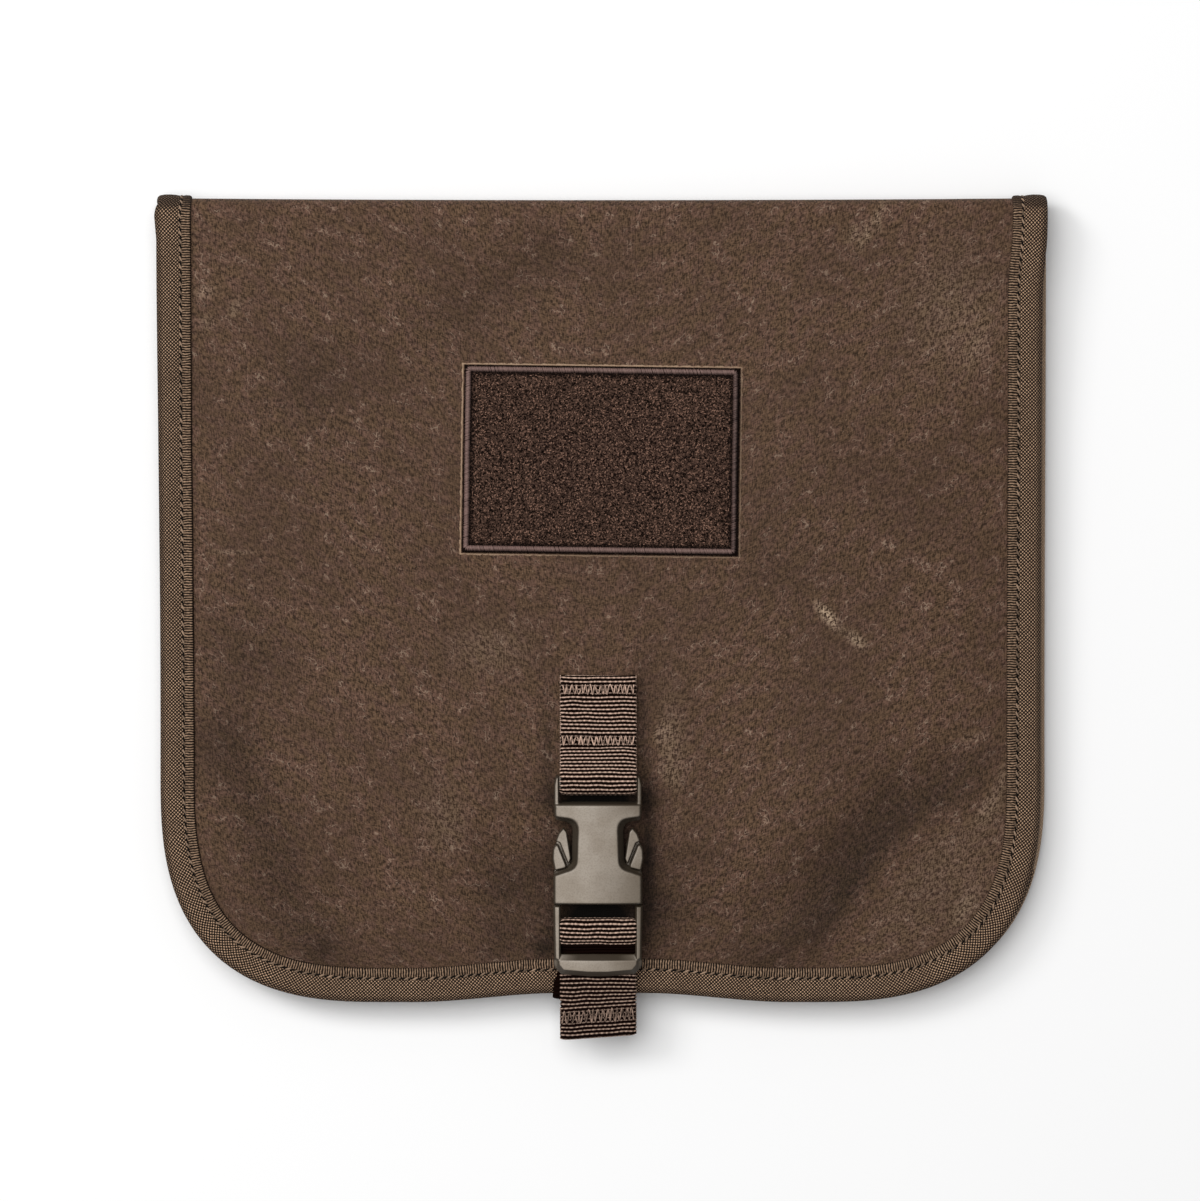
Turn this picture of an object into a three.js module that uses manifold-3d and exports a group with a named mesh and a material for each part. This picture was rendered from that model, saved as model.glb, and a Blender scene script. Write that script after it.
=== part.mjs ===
// A waxed-canvas toiletry bag with a buckled flap, lying on its back.
// Millimetres. +X is the bag's right, +Y points to the fold at its top, +Z is up from what it lies on.
import * as THREE from "three";
import { mergeVertices } from "three/addons/utils/BufferGeometryUtils.js";
import Module from "manifold-3d";

const wasm = await Module();
wasm.setup();

const { clamp, degToRad, lerp, radToDeg, smoothstep } = THREE.MathUtils;

// Cloth and tape
const CANVAS = 1.5;
const HALF_CANVAS = CANVAS / 2;
const TAPE = 1.0;
const GAP = 0.3;
const TAPE_COVER = 10.6;
const TAPE_REACH = TAPE + GAP;

// Outline of the bag, measured over the binding
const HALF_WIDTH = 142.7;
const FOLD_Y = 134.3;
const FOLD_DIP = 0.6;
const BOTTOM_Y = -123.5;
const CORNER_RADIUS = 72;
const LEFT_CORNER_FULLNESS = 2.72;
const RIGHT_CORNER_FULLNESS = 2.68;
const TAPER_LENGTH = 160;
const LEFT_TAPER = 1.2;
const RIGHT_TAPER = 0.5;
const FLAP_SET_BACK = 1.6;
const SET_BACK_LENGTH = 25;
const BODY_SHORTER = 1.2;
const STRAP_LIFT = 2.9;
const STRAP_LIFT_INNER = 14;
const STRAP_LIFT_OUTER = 60;

// Heights of the middle of each canvas wall above the surface
const BACK_FLAT = HALF_CANVAS;
const BACK_CURL = 3.2;
const BACK_CURL_AT_SIDES = 1.45;
const SIDE_CURL_FROM_Y = -88;
const SIDE_CURL_TO_Y = -40;
const CURL_INNER = 36;
const CURL_OUTER = 18;
const FLAP_EDGE = 10.15;
const FLAP_EDGE_AT_FOLD = 12.95;
const FLAP_CREST = 17.5;
const FLAP_CREST_AT_FOLD = 13.75;
const EDGE_FALL_LENGTH = 70;
const CREST_RISE_LENGTH = 80;
const SIDE_SLOPE = 75;
const BOTTOM_SLOPE = 100;
const POUCH_ON_BACK = 1.8;
const POUCH_UNDER_FLAP = 2.4;
const POUCH_RISE_OUTER = 18;
const POUCH_RISE_INNER = 36;
const FOLD_START_Y = 126.4;
const MOUTH_BELOW_FOLD = 22;

// Creases of the flap: a valley along a line, with its depth and half width
const CREASES = [
  { x0: 50.6, y0: -107.8, x1: 92, y1: -58, depth: 2.2, width: 11 },
  { x0: 92, y0: -58, x1: 122.6, y1: -47, depth: 1.5, width: 9 },
  { x0: -119.7, y0: -40.6, x1: -91.8, y1: -107.8, depth: 1.8, width: 11 },
  { x0: -35.8, y0: -77.4, x1: -30, y1: -106, depth: 1.0, width: 9 },
  { x0: -55, y0: 92, x1: -13, y1: 118, depth: 0.7, width: 9 },
];
const CREASE_FADE_OUTER = 17;
const CREASE_FADE_INNER = 32;

// Patch sewn to the flap
const PATCH = { x: -0.3, y: 49.9, width: 88.5, height: 60.2, turn: degToRad(-0.8) };
const PATCH_BORDER = 3.8;
const PATCH_BORDER_HEIGHT = 1.5;
const PATCH_FIELD = 1.0;
const PATCH_CORNER = 2.3;

// Webbing
const WEBBING = 1.5;
const HALF_WEBBING = WEBBING / 2;
const WEBBING_WIDTH = 24.2;
const STRAP_X = -1.2;
const LOAD_X = -3.5;
const BAR_CLEARANCE = GAP + HALF_WEBBING;
const UPPER_STRAP_TOP_Y = -18.6;
const UPPER_STRAP_SEWN_Y = -42;
const STRAP_FALL = 64;
const LOWER_STRAP_SEWN_Y = -75;
const RECESS_LIFT = 1.98;
const RECESS_HALF_WIDTH = WEBBING_WIDTH / 2 + 6;
const RECESS_TOP_Y = LOWER_STRAP_SEWN_Y + 12;
const RECESS_EASE = 10;
const FLOOR_CLEARANCE = 0.1;
const EDGE_TURN = { y: -118.7, radius: 3.05, topZ: 11.4 };
const LOAD_SHIFT = { fromY: -110, toY: -119 };
const TAIL = { overEdgeZ: 16.3, bendY: -126, bendZ: 15.2, endY: -133.25, endZ: 12.6, droop: degToRad(14) };
const TAIL_FOLD = 9;

// Side-release buckle, in its own frame: y along the strap, z up from its underside
const BUCKLE = { x: -1.3, y: -81.2, z: 16.6, tilt: degToRad(5.5) };
const FEMALE_HEIGHT = 8.6;
const FEMALE_HALF_WIDTH = 14.2;
const FEMALE_WALL = 1.7;
const FEMALE_TOP_Y = 31.2;
const FEMALE_BOTTOM_Y = -9.9;
const SHOULDER_Y = 18.6;
const WINDOW_OUTER_Y = -0.6;
const WINDOW_INNER_Y = 2.4;
const WAIST_HALF_WIDTH = 6.4;
const SLOT_HALF_WIDTH = 12.7;
const SLOT_BOTTOM_Y = 22.3;
const RAIL_TOP_Z = 6.4;
const TOP_BAR = { near: 27.9, far: 29.9, z: 3.4, radius: 1.2 };
const MALE_HALF_WIDTH = 14.3;
const MALE_BOTTOM_Y = -31.7;
const MALE_TOP_Y = -10.3;
const MALE_TOP_Z = 7.0;
const RAIL_UNDER_Z = 2.0;
const RAIL_INNER = 12.6;
const MIDDLE_BAR = { near: -17.4, far: -19.9, z: 3.6, radius: 1.0 };
const END_BAR_Y = -25.6;
const END_BAR_UNDER_Z = 3.9;
const TAIL_TURN = { y: END_BAR_Y + 0.4, z: 4.15, radius: 1.5 };
const PRONG_UNDER_Z = 2.0;
const PRONG_TOP_Z = 6.6;
const PRONG_BEVEL = 0.4;
const PRONG_BASE_HALF_WIDTH = 12.1;
const PRONG_BASE_Y = MALE_TOP_Y + 3.8;
const GUIDE_HALF_WIDTH = 3.9;
const GUIDE_TOP_Y = 12;
const LIP_TOP_Z = 5;
const LIP_WIDTH = 1.1;
const BEVEL = 0.6;

// Rows of the sheets, as heights above the bottom edge, close together round the corners
const CORNER_ROWS = [0, 0.7, 2.5, 6, 11.5, 19, 29, 42, 56];
const FLAP_ROWS = [72, 88, 106, 126, 148, 170, 192, 214, 232];
const BACK_ROWS = [70, 100, 160, 205, 233.5, 239];
const POUCH_ROWS = [70, 100, 128, 156, 184, 210];
const FOLD_STEPS = 7;
const ARC_STEPS = 3;
const SAME_POINT = 0.05;

// Columns: fixed places near the middle, then shares of the way out to the edge
const INNER_COLUMNS = [0, 7, 14, 24, 35, 46, 56, 66];
const OUTER_SHARES = [0.25, 0.5, 0.72, 0.88, 1];

const CANVAS_LOOK = new THREE.MeshStandardMaterial({ color: 0x56433a, roughness: 0.75 });
const TAPE_LOOK = new THREE.MeshStandardMaterial({ color: 0x5a4839, roughness: 0.85 });
const WEBBING_LOOK = new THREE.MeshStandardMaterial({ color: 0x5b473f, roughness: 0.7 });
const PILE_LOOK = new THREE.MeshStandardMaterial({ color: 0x44332c, roughness: 0.95 });
const BORDER_LOOK = new THREE.MeshStandardMaterial({ color: 0x46342f, roughness: 0.6 });
const BUCKLE_LOOK = new THREE.MeshStandardMaterial({ color: 0x9a8f85, roughness: 0.45 });

// A rise from 0 to 1 that leaves its start steeply and arrives level.
function levelOff(t) {
  const share = clamp(t, 0, 1);
  return share * (2 - share);
}

// Outline

function bottomEdge(layer) {
  const shorter = layer === "flap" ? 0 : BODY_SHORTER;
  return BOTTOM_Y + TAPE_REACH + shorter;
}

// The strap pulls the middle of the bottom edge up.
function strapPull(x) {
  return STRAP_LIFT * (1 - smoothstep(Math.abs(x), STRAP_LIFT_INNER, STRAP_LIFT_OUTER));
}

// Where the canvas ends at a side, -1 left or 1 right. A corner fuller than 2 is squarer than a circle.
function edgeX(side, y, layer) {
  const down = FOLD_START_Y - y;
  const taper = side < 0 ? LEFT_TAPER : RIGHT_TAPER;
  const setBack = layer === "flap" && side > 0 ? FLAP_SET_BACK : 0;
  const tapered = HALF_WIDTH - TAPE_REACH - taper * smoothstep(down, 0, TAPER_LENGTH);
  const straight = tapered - setBack * smoothstep(down, 0, SET_BACK_LENGTH);
  const radius = CORNER_RADIUS - TAPE_REACH;
  const fullness = side < 0 ? LEFT_CORNER_FULLNESS : RIGHT_CORNER_FULLNESS;
  const short = clamp(1 - (y - bottomEdge(layer)) / radius, 0, 1);
  return side * (straight - radius + radius * (1 - short ** fullness) ** (1 / fullness));
}

function edgeDistances(x, y, layer) {
  return {
    left: x - edgeX(-1, y, layer),
    right: edgeX(1, y, layer) - x,
    bottom: y - bottomEdge(layer) - strapPull(x),
  };
}

// 0 at the side and bottom edges of a layer, 1 well inside it.
function insideShare(x, y, layer, outer, inner) {
  const distances = Object.values(edgeDistances(x, y, layer));
  return distances.reduce((share, distance) => share * smoothstep(distance, outer, inner), 1);
}

// Heights of the three canvas walls

function backHeight(x, y) {
  const curl = 1 - insideShare(x, y, "body", CURL_OUTER, CURL_INNER);
  const curlRise = lerp(BACK_CURL, BACK_CURL_AT_SIDES, smoothstep(y, SIDE_CURL_FROM_Y, SIDE_CURL_TO_Y));
  const besideStrap = smoothstep(Math.abs(x - LOAD_X), RECESS_HALF_WIDTH, RECESS_HALF_WIDTH + RECESS_EASE);
  const pastStrap = smoothstep(y, RECESS_TOP_Y, RECESS_TOP_Y + RECESS_EASE);
  const recess = RECESS_LIFT * (1 - besideStrap) * (1 - pastStrap);
  return BACK_FLAT + curlRise * curl + recess * (1 - curl);
}

function creaseDepth(x, y) {
  let depth = 0;
  for (const c of CREASES) {
    const along = new THREE.Vector2(c.x1 - c.x0, c.y1 - c.y0);
    const from = new THREE.Vector2(x - c.x0, y - c.y0);
    const share = clamp(from.dot(along) / along.lengthSq(), 0, 1);
    const distance = from.addScaledVector(along, -share).length();
    depth = Math.max(depth, c.depth * Math.exp(-((distance / c.width) ** 2)));
  }
  return depth * insideShare(x, y, "flap", CREASE_FADE_OUTER, CREASE_FADE_INNER);
}

function flapHeight(x, y) {
  const down = FOLD_START_Y - y;
  const edge = lerp(FLAP_EDGE_AT_FOLD, FLAP_EDGE, smoothstep(down, 0, EDGE_FALL_LENGTH));
  const crest = lerp(FLAP_CREST_AT_FOLD, FLAP_CREST, smoothstep(down, 0, CREST_RISE_LENGTH));
  const d = edgeDistances(x, y, "flap");
  const sides = levelOff(d.left / SIDE_SLOPE) * levelOff(d.right / SIDE_SLOPE);
  return lerp(edge, crest, sides * levelOff(d.bottom / BOTTOM_SLOPE)) - creaseDepth(x, y);
}

function pouchHeight(x, y) {
  const inside = insideShare(x, y, "body", POUCH_RISE_OUTER, POUCH_RISE_INNER);
  return lerp(backHeight(x, y) + POUCH_ON_BACK, flapHeight(x, y) - POUCH_UNDER_FLAP, inside);
}

// A place on a wall: its point and the normal that faces out of the bag.
function placeOn(height, facing, x, y) {
  const step = 0.5;
  const slopeX = (height(x + step, y) - height(x - step, y)) / (2 * step);
  const slopeY = (height(x, y + step) - height(x, y - step)) / (2 * step);
  const normal = new THREE.Vector3(-slopeX, -slopeY, 1).normalize().multiplyScalar(facing);
  return { point: new THREE.Vector3(x, y, height(x, y)), normal };
}

const onBack = (x, y) => placeOn(backHeight, -1, x, y);
const onFlap = (x, y) => placeOn(flapHeight, 1, x, y);
const onPouch = (x, y) => placeOn(pouchHeight, 1, x, y);

function foldAt(x) {
  const low = backHeight(x, FOLD_START_Y);
  const high = flapHeight(x, FOLD_START_Y);
  const radius = (high - low) / 2;
  const dip = FOLD_DIP * (1 - (x / HALF_WIDTH) ** 2);
  return { radius, y: FOLD_Y - dip - HALF_CANVAS - radius, z: (high + low) / 2 };
}

// The fold turns from the back (-90 degrees) to the flap (90 degrees).
function onFold(x, angle) {
  const fold = foldAt(x);
  const normal = new THREE.Vector3(0, Math.cos(angle), Math.sin(angle));
  const point = new THREE.Vector3(x, fold.y, fold.z).addScaledVector(normal, fold.radius);
  return { point, normal };
}

function raised(place, height) {
  return place.point.clone().addScaledVector(place.normal, height);
}

// Solids from rings of points

function faceOut(geometry) {
  const at = geometry.getAttribute("position");
  const index = geometry.getIndex().array;
  const corners = [new THREE.Vector3(), new THREE.Vector3(), new THREE.Vector3()];
  let volume = 0;
  for (let i = 0; i < index.length; i += 3) {
    corners.forEach((corner, k) => corner.fromBufferAttribute(at, index[i + k]));
    volume += corners[0].dot(corners[1].clone().cross(corners[2]));
  }
  if (volume < 0) {
    geometry.setIndex(Array.from(index).reverse());
  }
  return geometry;
}

// Joins rings of the same count. An open loft is closed by a strip across each end ring,
// whose second half runs back along its first.
function loft(rings, closed) {
  const count = rings[0].length;
  const index = [];
  const quad = (a, b, c, d) => index.push(a, b, c, a, c, d);
  const spans = closed ? rings.length : rings.length - 1;
  for (let i = 0; i < spans; i++) {
    const here = i * count;
    const next = ((i + 1) % rings.length) * count;
    for (let k = 0; k < count; k++) {
      const l = (k + 1) % count;
      quad(here + k, here + l, next + l, next + k);
    }
  }
  if (!closed) {
    const last = (rings.length - 1) * count;
    for (let k = 0; k < count / 2 - 1; k++) {
      const back = count - 1 - k;
      quad(k, back, back - 1, k + 1);
      quad(last + k, last + k + 1, last + back - 1, last + back);
    }
  }
  const geometry = new THREE.BufferGeometry();
  geometry.setFromPoints(rings.flat());
  geometry.setIndex(index);
  return faceOut(geometry);
}

// A sheet of even thickness through a grid of places.
function sheet(grid, thickness) {
  const half = thickness / 2;
  const rings = grid.map((row) => {
    const outer = row.map((place) => raised(place, half));
    const inner = row.map((place) => raised(place, -half));
    return [...outer, ...inner.reverse()];
  });
  return loft(rings, false);
}

function columnsAt(y, layer) {
  const last = INNER_COLUMNS.at(-1);
  const half = (side) => {
    const reach = side * edgeX(side, y, layer) - last;
    return [...INNER_COLUMNS, ...OUTER_SHARES.map((share) => last + share * reach)].map((x) => side * x);
  };
  return [...half(-1).reverse(), ...half(1).slice(1)];
}

// A row of stations across a wall, at a height above its bottom edge.
function rowAt(rise, layer, place) {
  const y = bottomEdge(layer) + rise;
  const pullShare = 1 - smoothstep(rise, 0, CORNER_RADIUS);
  return columnsAt(y, layer).map((x) => ({ x, y: y + strapPull(x) * pullShare, place }));
}

function rowAtFold(layer, place) {
  return columnsAt(FOLD_START_Y, layer).map((x) => ({ x, y: foldAt(x).y, place }));
}

const placesOf = (rows) => rows.map((row) => row.map((station) => station.place(station.x, station.y)));

const backRows = [...CORNER_ROWS, ...BACK_ROWS].map((rise) => rowAt(rise, "body", onBack));
backRows.push(rowAtFold("body", onBack));
const flapRows = [...CORNER_ROWS, ...FLAP_ROWS].map((rise) => rowAt(rise, "flap", onFlap));
flapRows.push(rowAtFold("flap", onFlap));
const foldRows = [];
for (let i = 1; i < FOLD_STEPS; i++) {
  const angle = Math.PI * (i / FOLD_STEPS - 0.5);
  foldRows.push(columnsAt(FOLD_START_Y, "body").map((x) => ({ x, y: angle, place: onFold })));
}

// Back, fold and flap are one length of canvas.
function makeShell() {
  return sheet(placesOf([...backRows, ...foldRows, ...flapRows.toReversed()]), CANVAS);
}

function makePouchPanel() {
  const rows = [...CORNER_ROWS, ...POUCH_ROWS].map((rise) => rowAt(rise, "body", onPouch));
  const mouth = FOLD_Y - MOUTH_BELOW_FOLD;
  rows.push(columnsAt(mouth, "body").map((x) => ({ x, y: mouth, place: onPouch })));
  return sheet(placesOf(rows), CANVAS);
}

// The edge of the shell, once round: down the flap's left side, along its bottom and up its right side,
// over the fold, and the same way along the back.
function shellEdge() {
  const first = (rows) => rows.map((row) => row[0]);
  const last = (rows) => rows.map((row) => row.at(-1));
  return [
    ...first(flapRows).toReversed(),
    ...flapRows[0].slice(1, -1),
    ...last(flapRows),
    ...last(foldRows).toReversed(),
    ...last(backRows).toReversed(),
    ...backRows[0].slice(1, -1).toReversed(),
    ...first(backRows),
    ...first(foldRows),
  ];
}

// The direction in plan that points from the edge into the bag.
function inwardAt(edge, i) {
  const here = edge[i];
  if (here.place === onFold) {
    return new THREE.Vector2(-Math.sign(here.x), 0);
  }
  const plan = (station) => {
    const at = station.place(station.x, station.y).point;
    return new THREE.Vector2(at.x, at.y);
  };
  const along = plan(edge[(i + 1) % edge.length]).sub(plan(edge.at(i - 1))).normalize();
  const turn = here.place === onFlap ? 1 : -1;
  return new THREE.Vector2(-along.y, along.x).multiplyScalar(turn);
}

// How far below the middle of the shell the tape's inner leg starts: it takes in the pouch panel too.
function innerLegStart(station) {
  const alone = HALF_CANVAS + GAP;
  if (station.place !== onBack) {
    return alone;
  }
  const mouth = FOLD_Y - MOUTH_BELOW_FOLD;
  const taken = 1 - smoothstep(station.y, mouth + 1.2, mouth + 6);
  return alone + POUCH_ON_BACK * taken;
}

// Binding tape, folded over the edge of the canvas.
function makeBinding() {
  const edge = shellEdge();
  const rings = edge.map((station, i) => {
    const inward = inwardAt(edge, i);
    const at = (inset, height) => {
      const x = station.x + inward.x * inset;
      const y = station.place === onFold ? station.y : station.y + inward.y * inset;
      return raised(station.place(x, y), height);
    };
    const outer = HALF_CANVAS + GAP;
    const inner = -innerLegStart(station);
    const round = TAPE * 0.6;
    return [
      at(TAPE_COVER, outer + TAPE),
      at(-TAPE_REACH + round, outer + TAPE),
      at(-TAPE_REACH, outer + TAPE - round),
      at(-TAPE_REACH, inner - TAPE + round),
      at(-TAPE_REACH + round, inner - TAPE),
      at(TAPE_COVER, inner - TAPE),
      at(TAPE_COVER, inner),
      at(-GAP, inner),
      at(-GAP, outer),
      at(TAPE_COVER, outer),
    ];
  });
  return loft(rings, true);
}

// A place on the flap under the patch, in the patch's own turned axes.
function onPatch(u, v) {
  const cos = Math.cos(PATCH.turn);
  const sin = Math.sin(PATCH.turn);
  return onFlap(PATCH.x + u * cos - v * sin, PATCH.y + u * sin + v * cos);
}

function makePatchField() {
  const halfWidth = PATCH.width / 2 - PATCH_BORDER - GAP;
  const halfHeight = PATCH.height / 2 - PATCH_BORDER - GAP;
  const columns = 8;
  const rows = 6;
  const middle = HALF_CANVAS + GAP + PATCH_FIELD / 2;
  const grid = [];
  for (let r = 0; r <= rows; r++) {
    const row = [];
    for (let c = 0; c <= columns; c++) {
      const u = lerp(-halfWidth, halfWidth, c / columns);
      const v = lerp(-halfHeight, halfHeight, r / rows);
      const place = onPatch(u, v);
      row.push({ point: raised(place, middle), normal: place.normal });
    }
    grid.push(row);
  }
  return sheet(grid, PATCH_FIELD);
}

// Overlocked border of the patch: a low rounded bead, once round it.
function makePatchBorder() {
  const halfBead = PATCH_BORDER / 2;
  const under = HALF_CANVAS + GAP;
  const section = [
    { out: -halfBead, up: 0 },
    { out: -halfBead, up: 0.55 },
    { out: -halfBead / 2, up: 1 },
    { out: halfBead / 2, up: 1 },
    { out: halfBead, up: 0.55 },
    { out: halfBead, up: 0 },
  ];
  const centreU = PATCH.width / 2 - halfBead - PATCH_CORNER;
  const centreV = PATCH.height / 2 - halfBead - PATCH_CORNER;
  const corners = [
    { u: centreU, v: centreV },
    { u: -centreU, v: centreV },
    { u: -centreU, v: -centreV },
    { u: centreU, v: -centreV },
  ];
  const cornerSteps = 3;
  const sideSteps = 5;
  const rings = [];
  const ringAt = (u, v, angle) => {
    const ring = section.map(({ out, up }) => {
      const reach = PATCH_CORNER + out;
      return raised(
        onPatch(u + Math.cos(angle) * reach, v + Math.sin(angle) * reach),
        under + up * PATCH_BORDER_HEIGHT,
      );
    });
    rings.push(ring);
  };
  corners.forEach((corner, quarter) => {
    const next = corners[(quarter + 1) % corners.length];
    for (let i = 0; i <= cornerSteps; i++) {
      ringAt(corner.u, corner.v, (quarter + i / cornerSteps) * (Math.PI / 2));
    }
    for (let i = 1; i < sideSteps; i++) {
      const share = i / sideSteps;
      ringAt(lerp(corner.u, next.u, share), lerp(corner.v, next.v, share), (quarter + 1) * (Math.PI / 2));
    }
  });
  return loft(rings, true);
}

// Straps: a flat ribbon along a path in a plane of constant x

function ribbon(points, middleX) {
  const rings = points.map((point, i) => {
    const before = points[Math.max(i - 1, 0)];
    const after = points[Math.min(i + 1, points.length - 1)];
    const along = after.clone().sub(before).normalize();
    const x = middleX(point, i);
    const corner = (sideways, outward) =>
      new THREE.Vector3(
        x + (sideways * WEBBING_WIDTH) / 2,
        point.x - along.y * outward * HALF_WEBBING,
        point.y + along.x * outward * HALF_WEBBING,
      );
    return [corner(-1, 1), corner(1, 1), corner(1, -1), corner(-1, -1)];
  });
  return loft(rings, false);
}

// A point given in the buckle's frame, as (y, z) of the bag.
function fromBuckle(y, z) {
  const origin = new THREE.Vector2(BUCKLE.y, BUCKLE.z);
  return new THREE.Vector2(y, z).add(origin).rotateAround(origin, BUCKLE.tilt);
}

function turnRound(path, y, z, radius, startDegrees, endDegrees, clockwise) {
  const centre = fromBuckle(y, z);
  const start = degToRad(startDegrees) + BUCKLE.tilt;
  const end = degToRad(endDegrees) + BUCKLE.tilt;
  path.absarc(centre.x, centre.y, radius, start, end, clockwise);
}

function lineTo(path, point) {
  path.lineTo(point.x, point.y);
}

// The points along a path, each once.
function pointsAlong(path) {
  const points = path.getPoints(ARC_STEPS);
  return points.filter((point, i) => i === 0 || point.distanceTo(points[i - 1]) > SAME_POINT);
}

// Sewn to the flap, down round the buckle's top bar and back up over itself.
function makeUpperStrap() {
  const onFlapTop = (y, layer) => {
    const lift = HALF_CANVAS + GAP + HALF_WEBBING + layer * (WEBBING + GAP);
    return new THREE.Vector2(y, flapHeight(STRAP_X, y) + lift);
  };
  const middleY = (UPPER_STRAP_TOP_Y + UPPER_STRAP_SEWN_Y) / 2;
  const wrap = TOP_BAR.radius + BAR_CLEARANCE;
  const path = new THREE.Path([onFlapTop(UPPER_STRAP_TOP_Y, 0), onFlapTop(middleY, 0)]);
  lineTo(path, onFlapTop(UPPER_STRAP_SEWN_Y, 0));
  lineTo(path, fromBuckle(TOP_BAR.far, TOP_BAR.z - wrap));
  turnRound(path, TOP_BAR.near, TOP_BAR.z, wrap, 270, 90, true);
  turnRound(path, TOP_BAR.far, TOP_BAR.z, wrap, 90, STRAP_FALL, true);
  lineTo(path, onFlapTop(UPPER_STRAP_SEWN_Y, 1));
  lineTo(path, onFlapTop(middleY, 1));
  lineTo(path, onFlapTop(UPPER_STRAP_TOP_Y, 1));
  return ribbon(pointsAlong(path), () => STRAP_X);
}

// From the back panel round the bottom edge, through the buckle's adjuster and out again as a free tail.
function makeLowerStrap() {
  const low = HALF_WEBBING + FLOOR_CLEARANCE;
  const wrap = MIDDLE_BAR.radius + BAR_CLEARANCE;
  const load = new THREE.Path();
  load.moveTo(LOWER_STRAP_SEWN_Y, low);
  load.lineTo(EDGE_TURN.y, low);
  load.absarc(EDGE_TURN.y, low + EDGE_TURN.radius, EDGE_TURN.radius, -Math.PI / 2, -Math.PI, true);
  load.absarc(EDGE_TURN.y, EDGE_TURN.topZ, EDGE_TURN.radius, Math.PI, Math.PI / 2, true);
  lineTo(load, fromBuckle((MALE_BOTTOM_Y + END_BAR_Y) / 2, low));
  lineTo(load, fromBuckle(END_BAR_Y, low));
  turnRound(load, MIDDLE_BAR.near, MIDDLE_BAR.z, wrap, -90, 90, false);

  // The tail leaves the middle bar along the line that touches both its turn and the one under the end bar.
  const apart = new THREE.Vector2(TAIL_TURN.y - MIDDLE_BAR.far, TAIL_TURN.z - MIDDLE_BAR.z);
  const opening = Math.acos((wrap + TAIL_TURN.radius) / apart.length());
  const leave = radToDeg(apart.angle() - opening);
  const tail = new THREE.Path();
  turnRound(tail, MIDDLE_BAR.far, MIDDLE_BAR.z, wrap, 90, leave, false);
  turnRound(tail, TAIL_TURN.y, TAIL_TURN.z, TAIL_TURN.radius, leave + 180, 270, true);
  lineTo(tail, fromBuckle(MALE_BOTTOM_Y, TAIL_TURN.z - TAIL_TURN.radius));
  tail.lineTo(EDGE_TURN.y, TAIL.overEdgeZ);
  tail.lineTo(TAIL.bendY, TAIL.bendZ);

  // Its end is folded under and sewn.
  const foldRadius = HALF_WEBBING + GAP / 2;
  const foldStart = Math.PI / 2 + TAIL.droop;
  tail.absarc(TAIL.endY, TAIL.endZ, foldRadius, foldStart, foldStart + Math.PI, false);
  const backwards = new THREE.Vector2(Math.cos(TAIL.droop), Math.sin(TAIL.droop));
  lineTo(tail, tail.currentPoint.clone().addScaledVector(backwards, TAIL_FOLD));

  const loadPoints = pointsAlong(load);
  const middleX = (point, i) => {
    const onBackPanel = point.y < EDGE_TURN.radius;
    const shifted = onBackPanel ? 1 : smoothstep(-point.x, -LOAD_SHIFT.fromY, -LOAD_SHIFT.toY);
    return i < loadPoints.length ? lerp(STRAP_X, LOAD_X, shifted) : STRAP_X;
  };
  return ribbon([...loadPoints, ...pointsAlong(tail)], middleX);
}

// Buckle: plates extruded from outlines, joined and cut

function solidOf(geometry) {
  const bare = new THREE.BufferGeometry();
  bare.setAttribute("position", geometry.getAttribute("position"));
  bare.setIndex(geometry.getIndex());
  const merged = mergeVertices(bare, 1e-4);
  const mesh = new wasm.Mesh({
    numProp: 3,
    vertProperties: merged.getAttribute("position").array,
    triVerts: new Uint32Array(merged.getIndex().array),
  });
  return new wasm.Manifold(mesh);
}

function geometryOf(solid) {
  const mesh = solid.getMesh();
  const geometry = new THREE.BufferGeometry();
  geometry.setAttribute("position", new THREE.BufferAttribute(mesh.vertProperties, mesh.numProp));
  geometry.setIndex(new THREE.BufferAttribute(mesh.triVerts, 1));
  return geometry;
}

// A plate between two heights, with its top and bottom edges eased by a bevel.
function plate(outline, low, high, bevel) {
  const geometry = new THREE.ExtrudeGeometry(outline, {
    depth: high - low - 2 * bevel,
    bevelEnabled: bevel > 0,
    bevelThickness: bevel,
    bevelSize: bevel,
    bevelOffset: -bevel,
    bevelSegments: 2,
    curveSegments: 5,
  });
  geometry.translate(0, 0, low + bevel);
  return solidOf(geometry);
}

// A bar across the buckle, from its section in y and z.
function crossBar(section, halfWidth) {
  const geometry = new THREE.ExtrudeGeometry(section, {
    depth: 2 * halfWidth,
    bevelEnabled: false,
    curveSegments: 6,
  });
  geometry.translate(0, 0, -halfWidth);
  const axes = new THREE.Matrix4().makeBasis(
    new THREE.Vector3(0, 1, 0),
    new THREE.Vector3(0, 0, 1),
    new THREE.Vector3(1, 0, 0),
  );
  return solidOf(geometry.applyMatrix4(axes));
}

function block(x0, x1, y0, y1, z0, z1) {
  const geometry = new THREE.BoxGeometry(x1 - x0, y1 - y0, z1 - z0);
  geometry.translate((x0 + x1) / 2, (y0 + y1) / 2, (z0 + z1) / 2);
  return solidOf(geometry);
}

function roundBarSection(bar) {
  const section = new THREE.Shape();
  const low = Math.min(bar.near, bar.far);
  const high = Math.max(bar.near, bar.far);
  section.absarc(high, bar.z, bar.radius, -Math.PI / 2, Math.PI / 2, false);
  section.absarc(low, bar.z, bar.radius, Math.PI / 2, (3 * Math.PI) / 2, false);
  return section;
}

// An outline from the points of its right half, mirrored to the left.
function mirroredOutline(rightHalf) {
  const leftHalf = rightHalf.map(([x, y]) => [-x, y]).reverse();
  return new THREE.Shape([...rightHalf, ...leftHalf].map(([x, y]) => new THREE.Vector2(x, y)));
}

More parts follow.
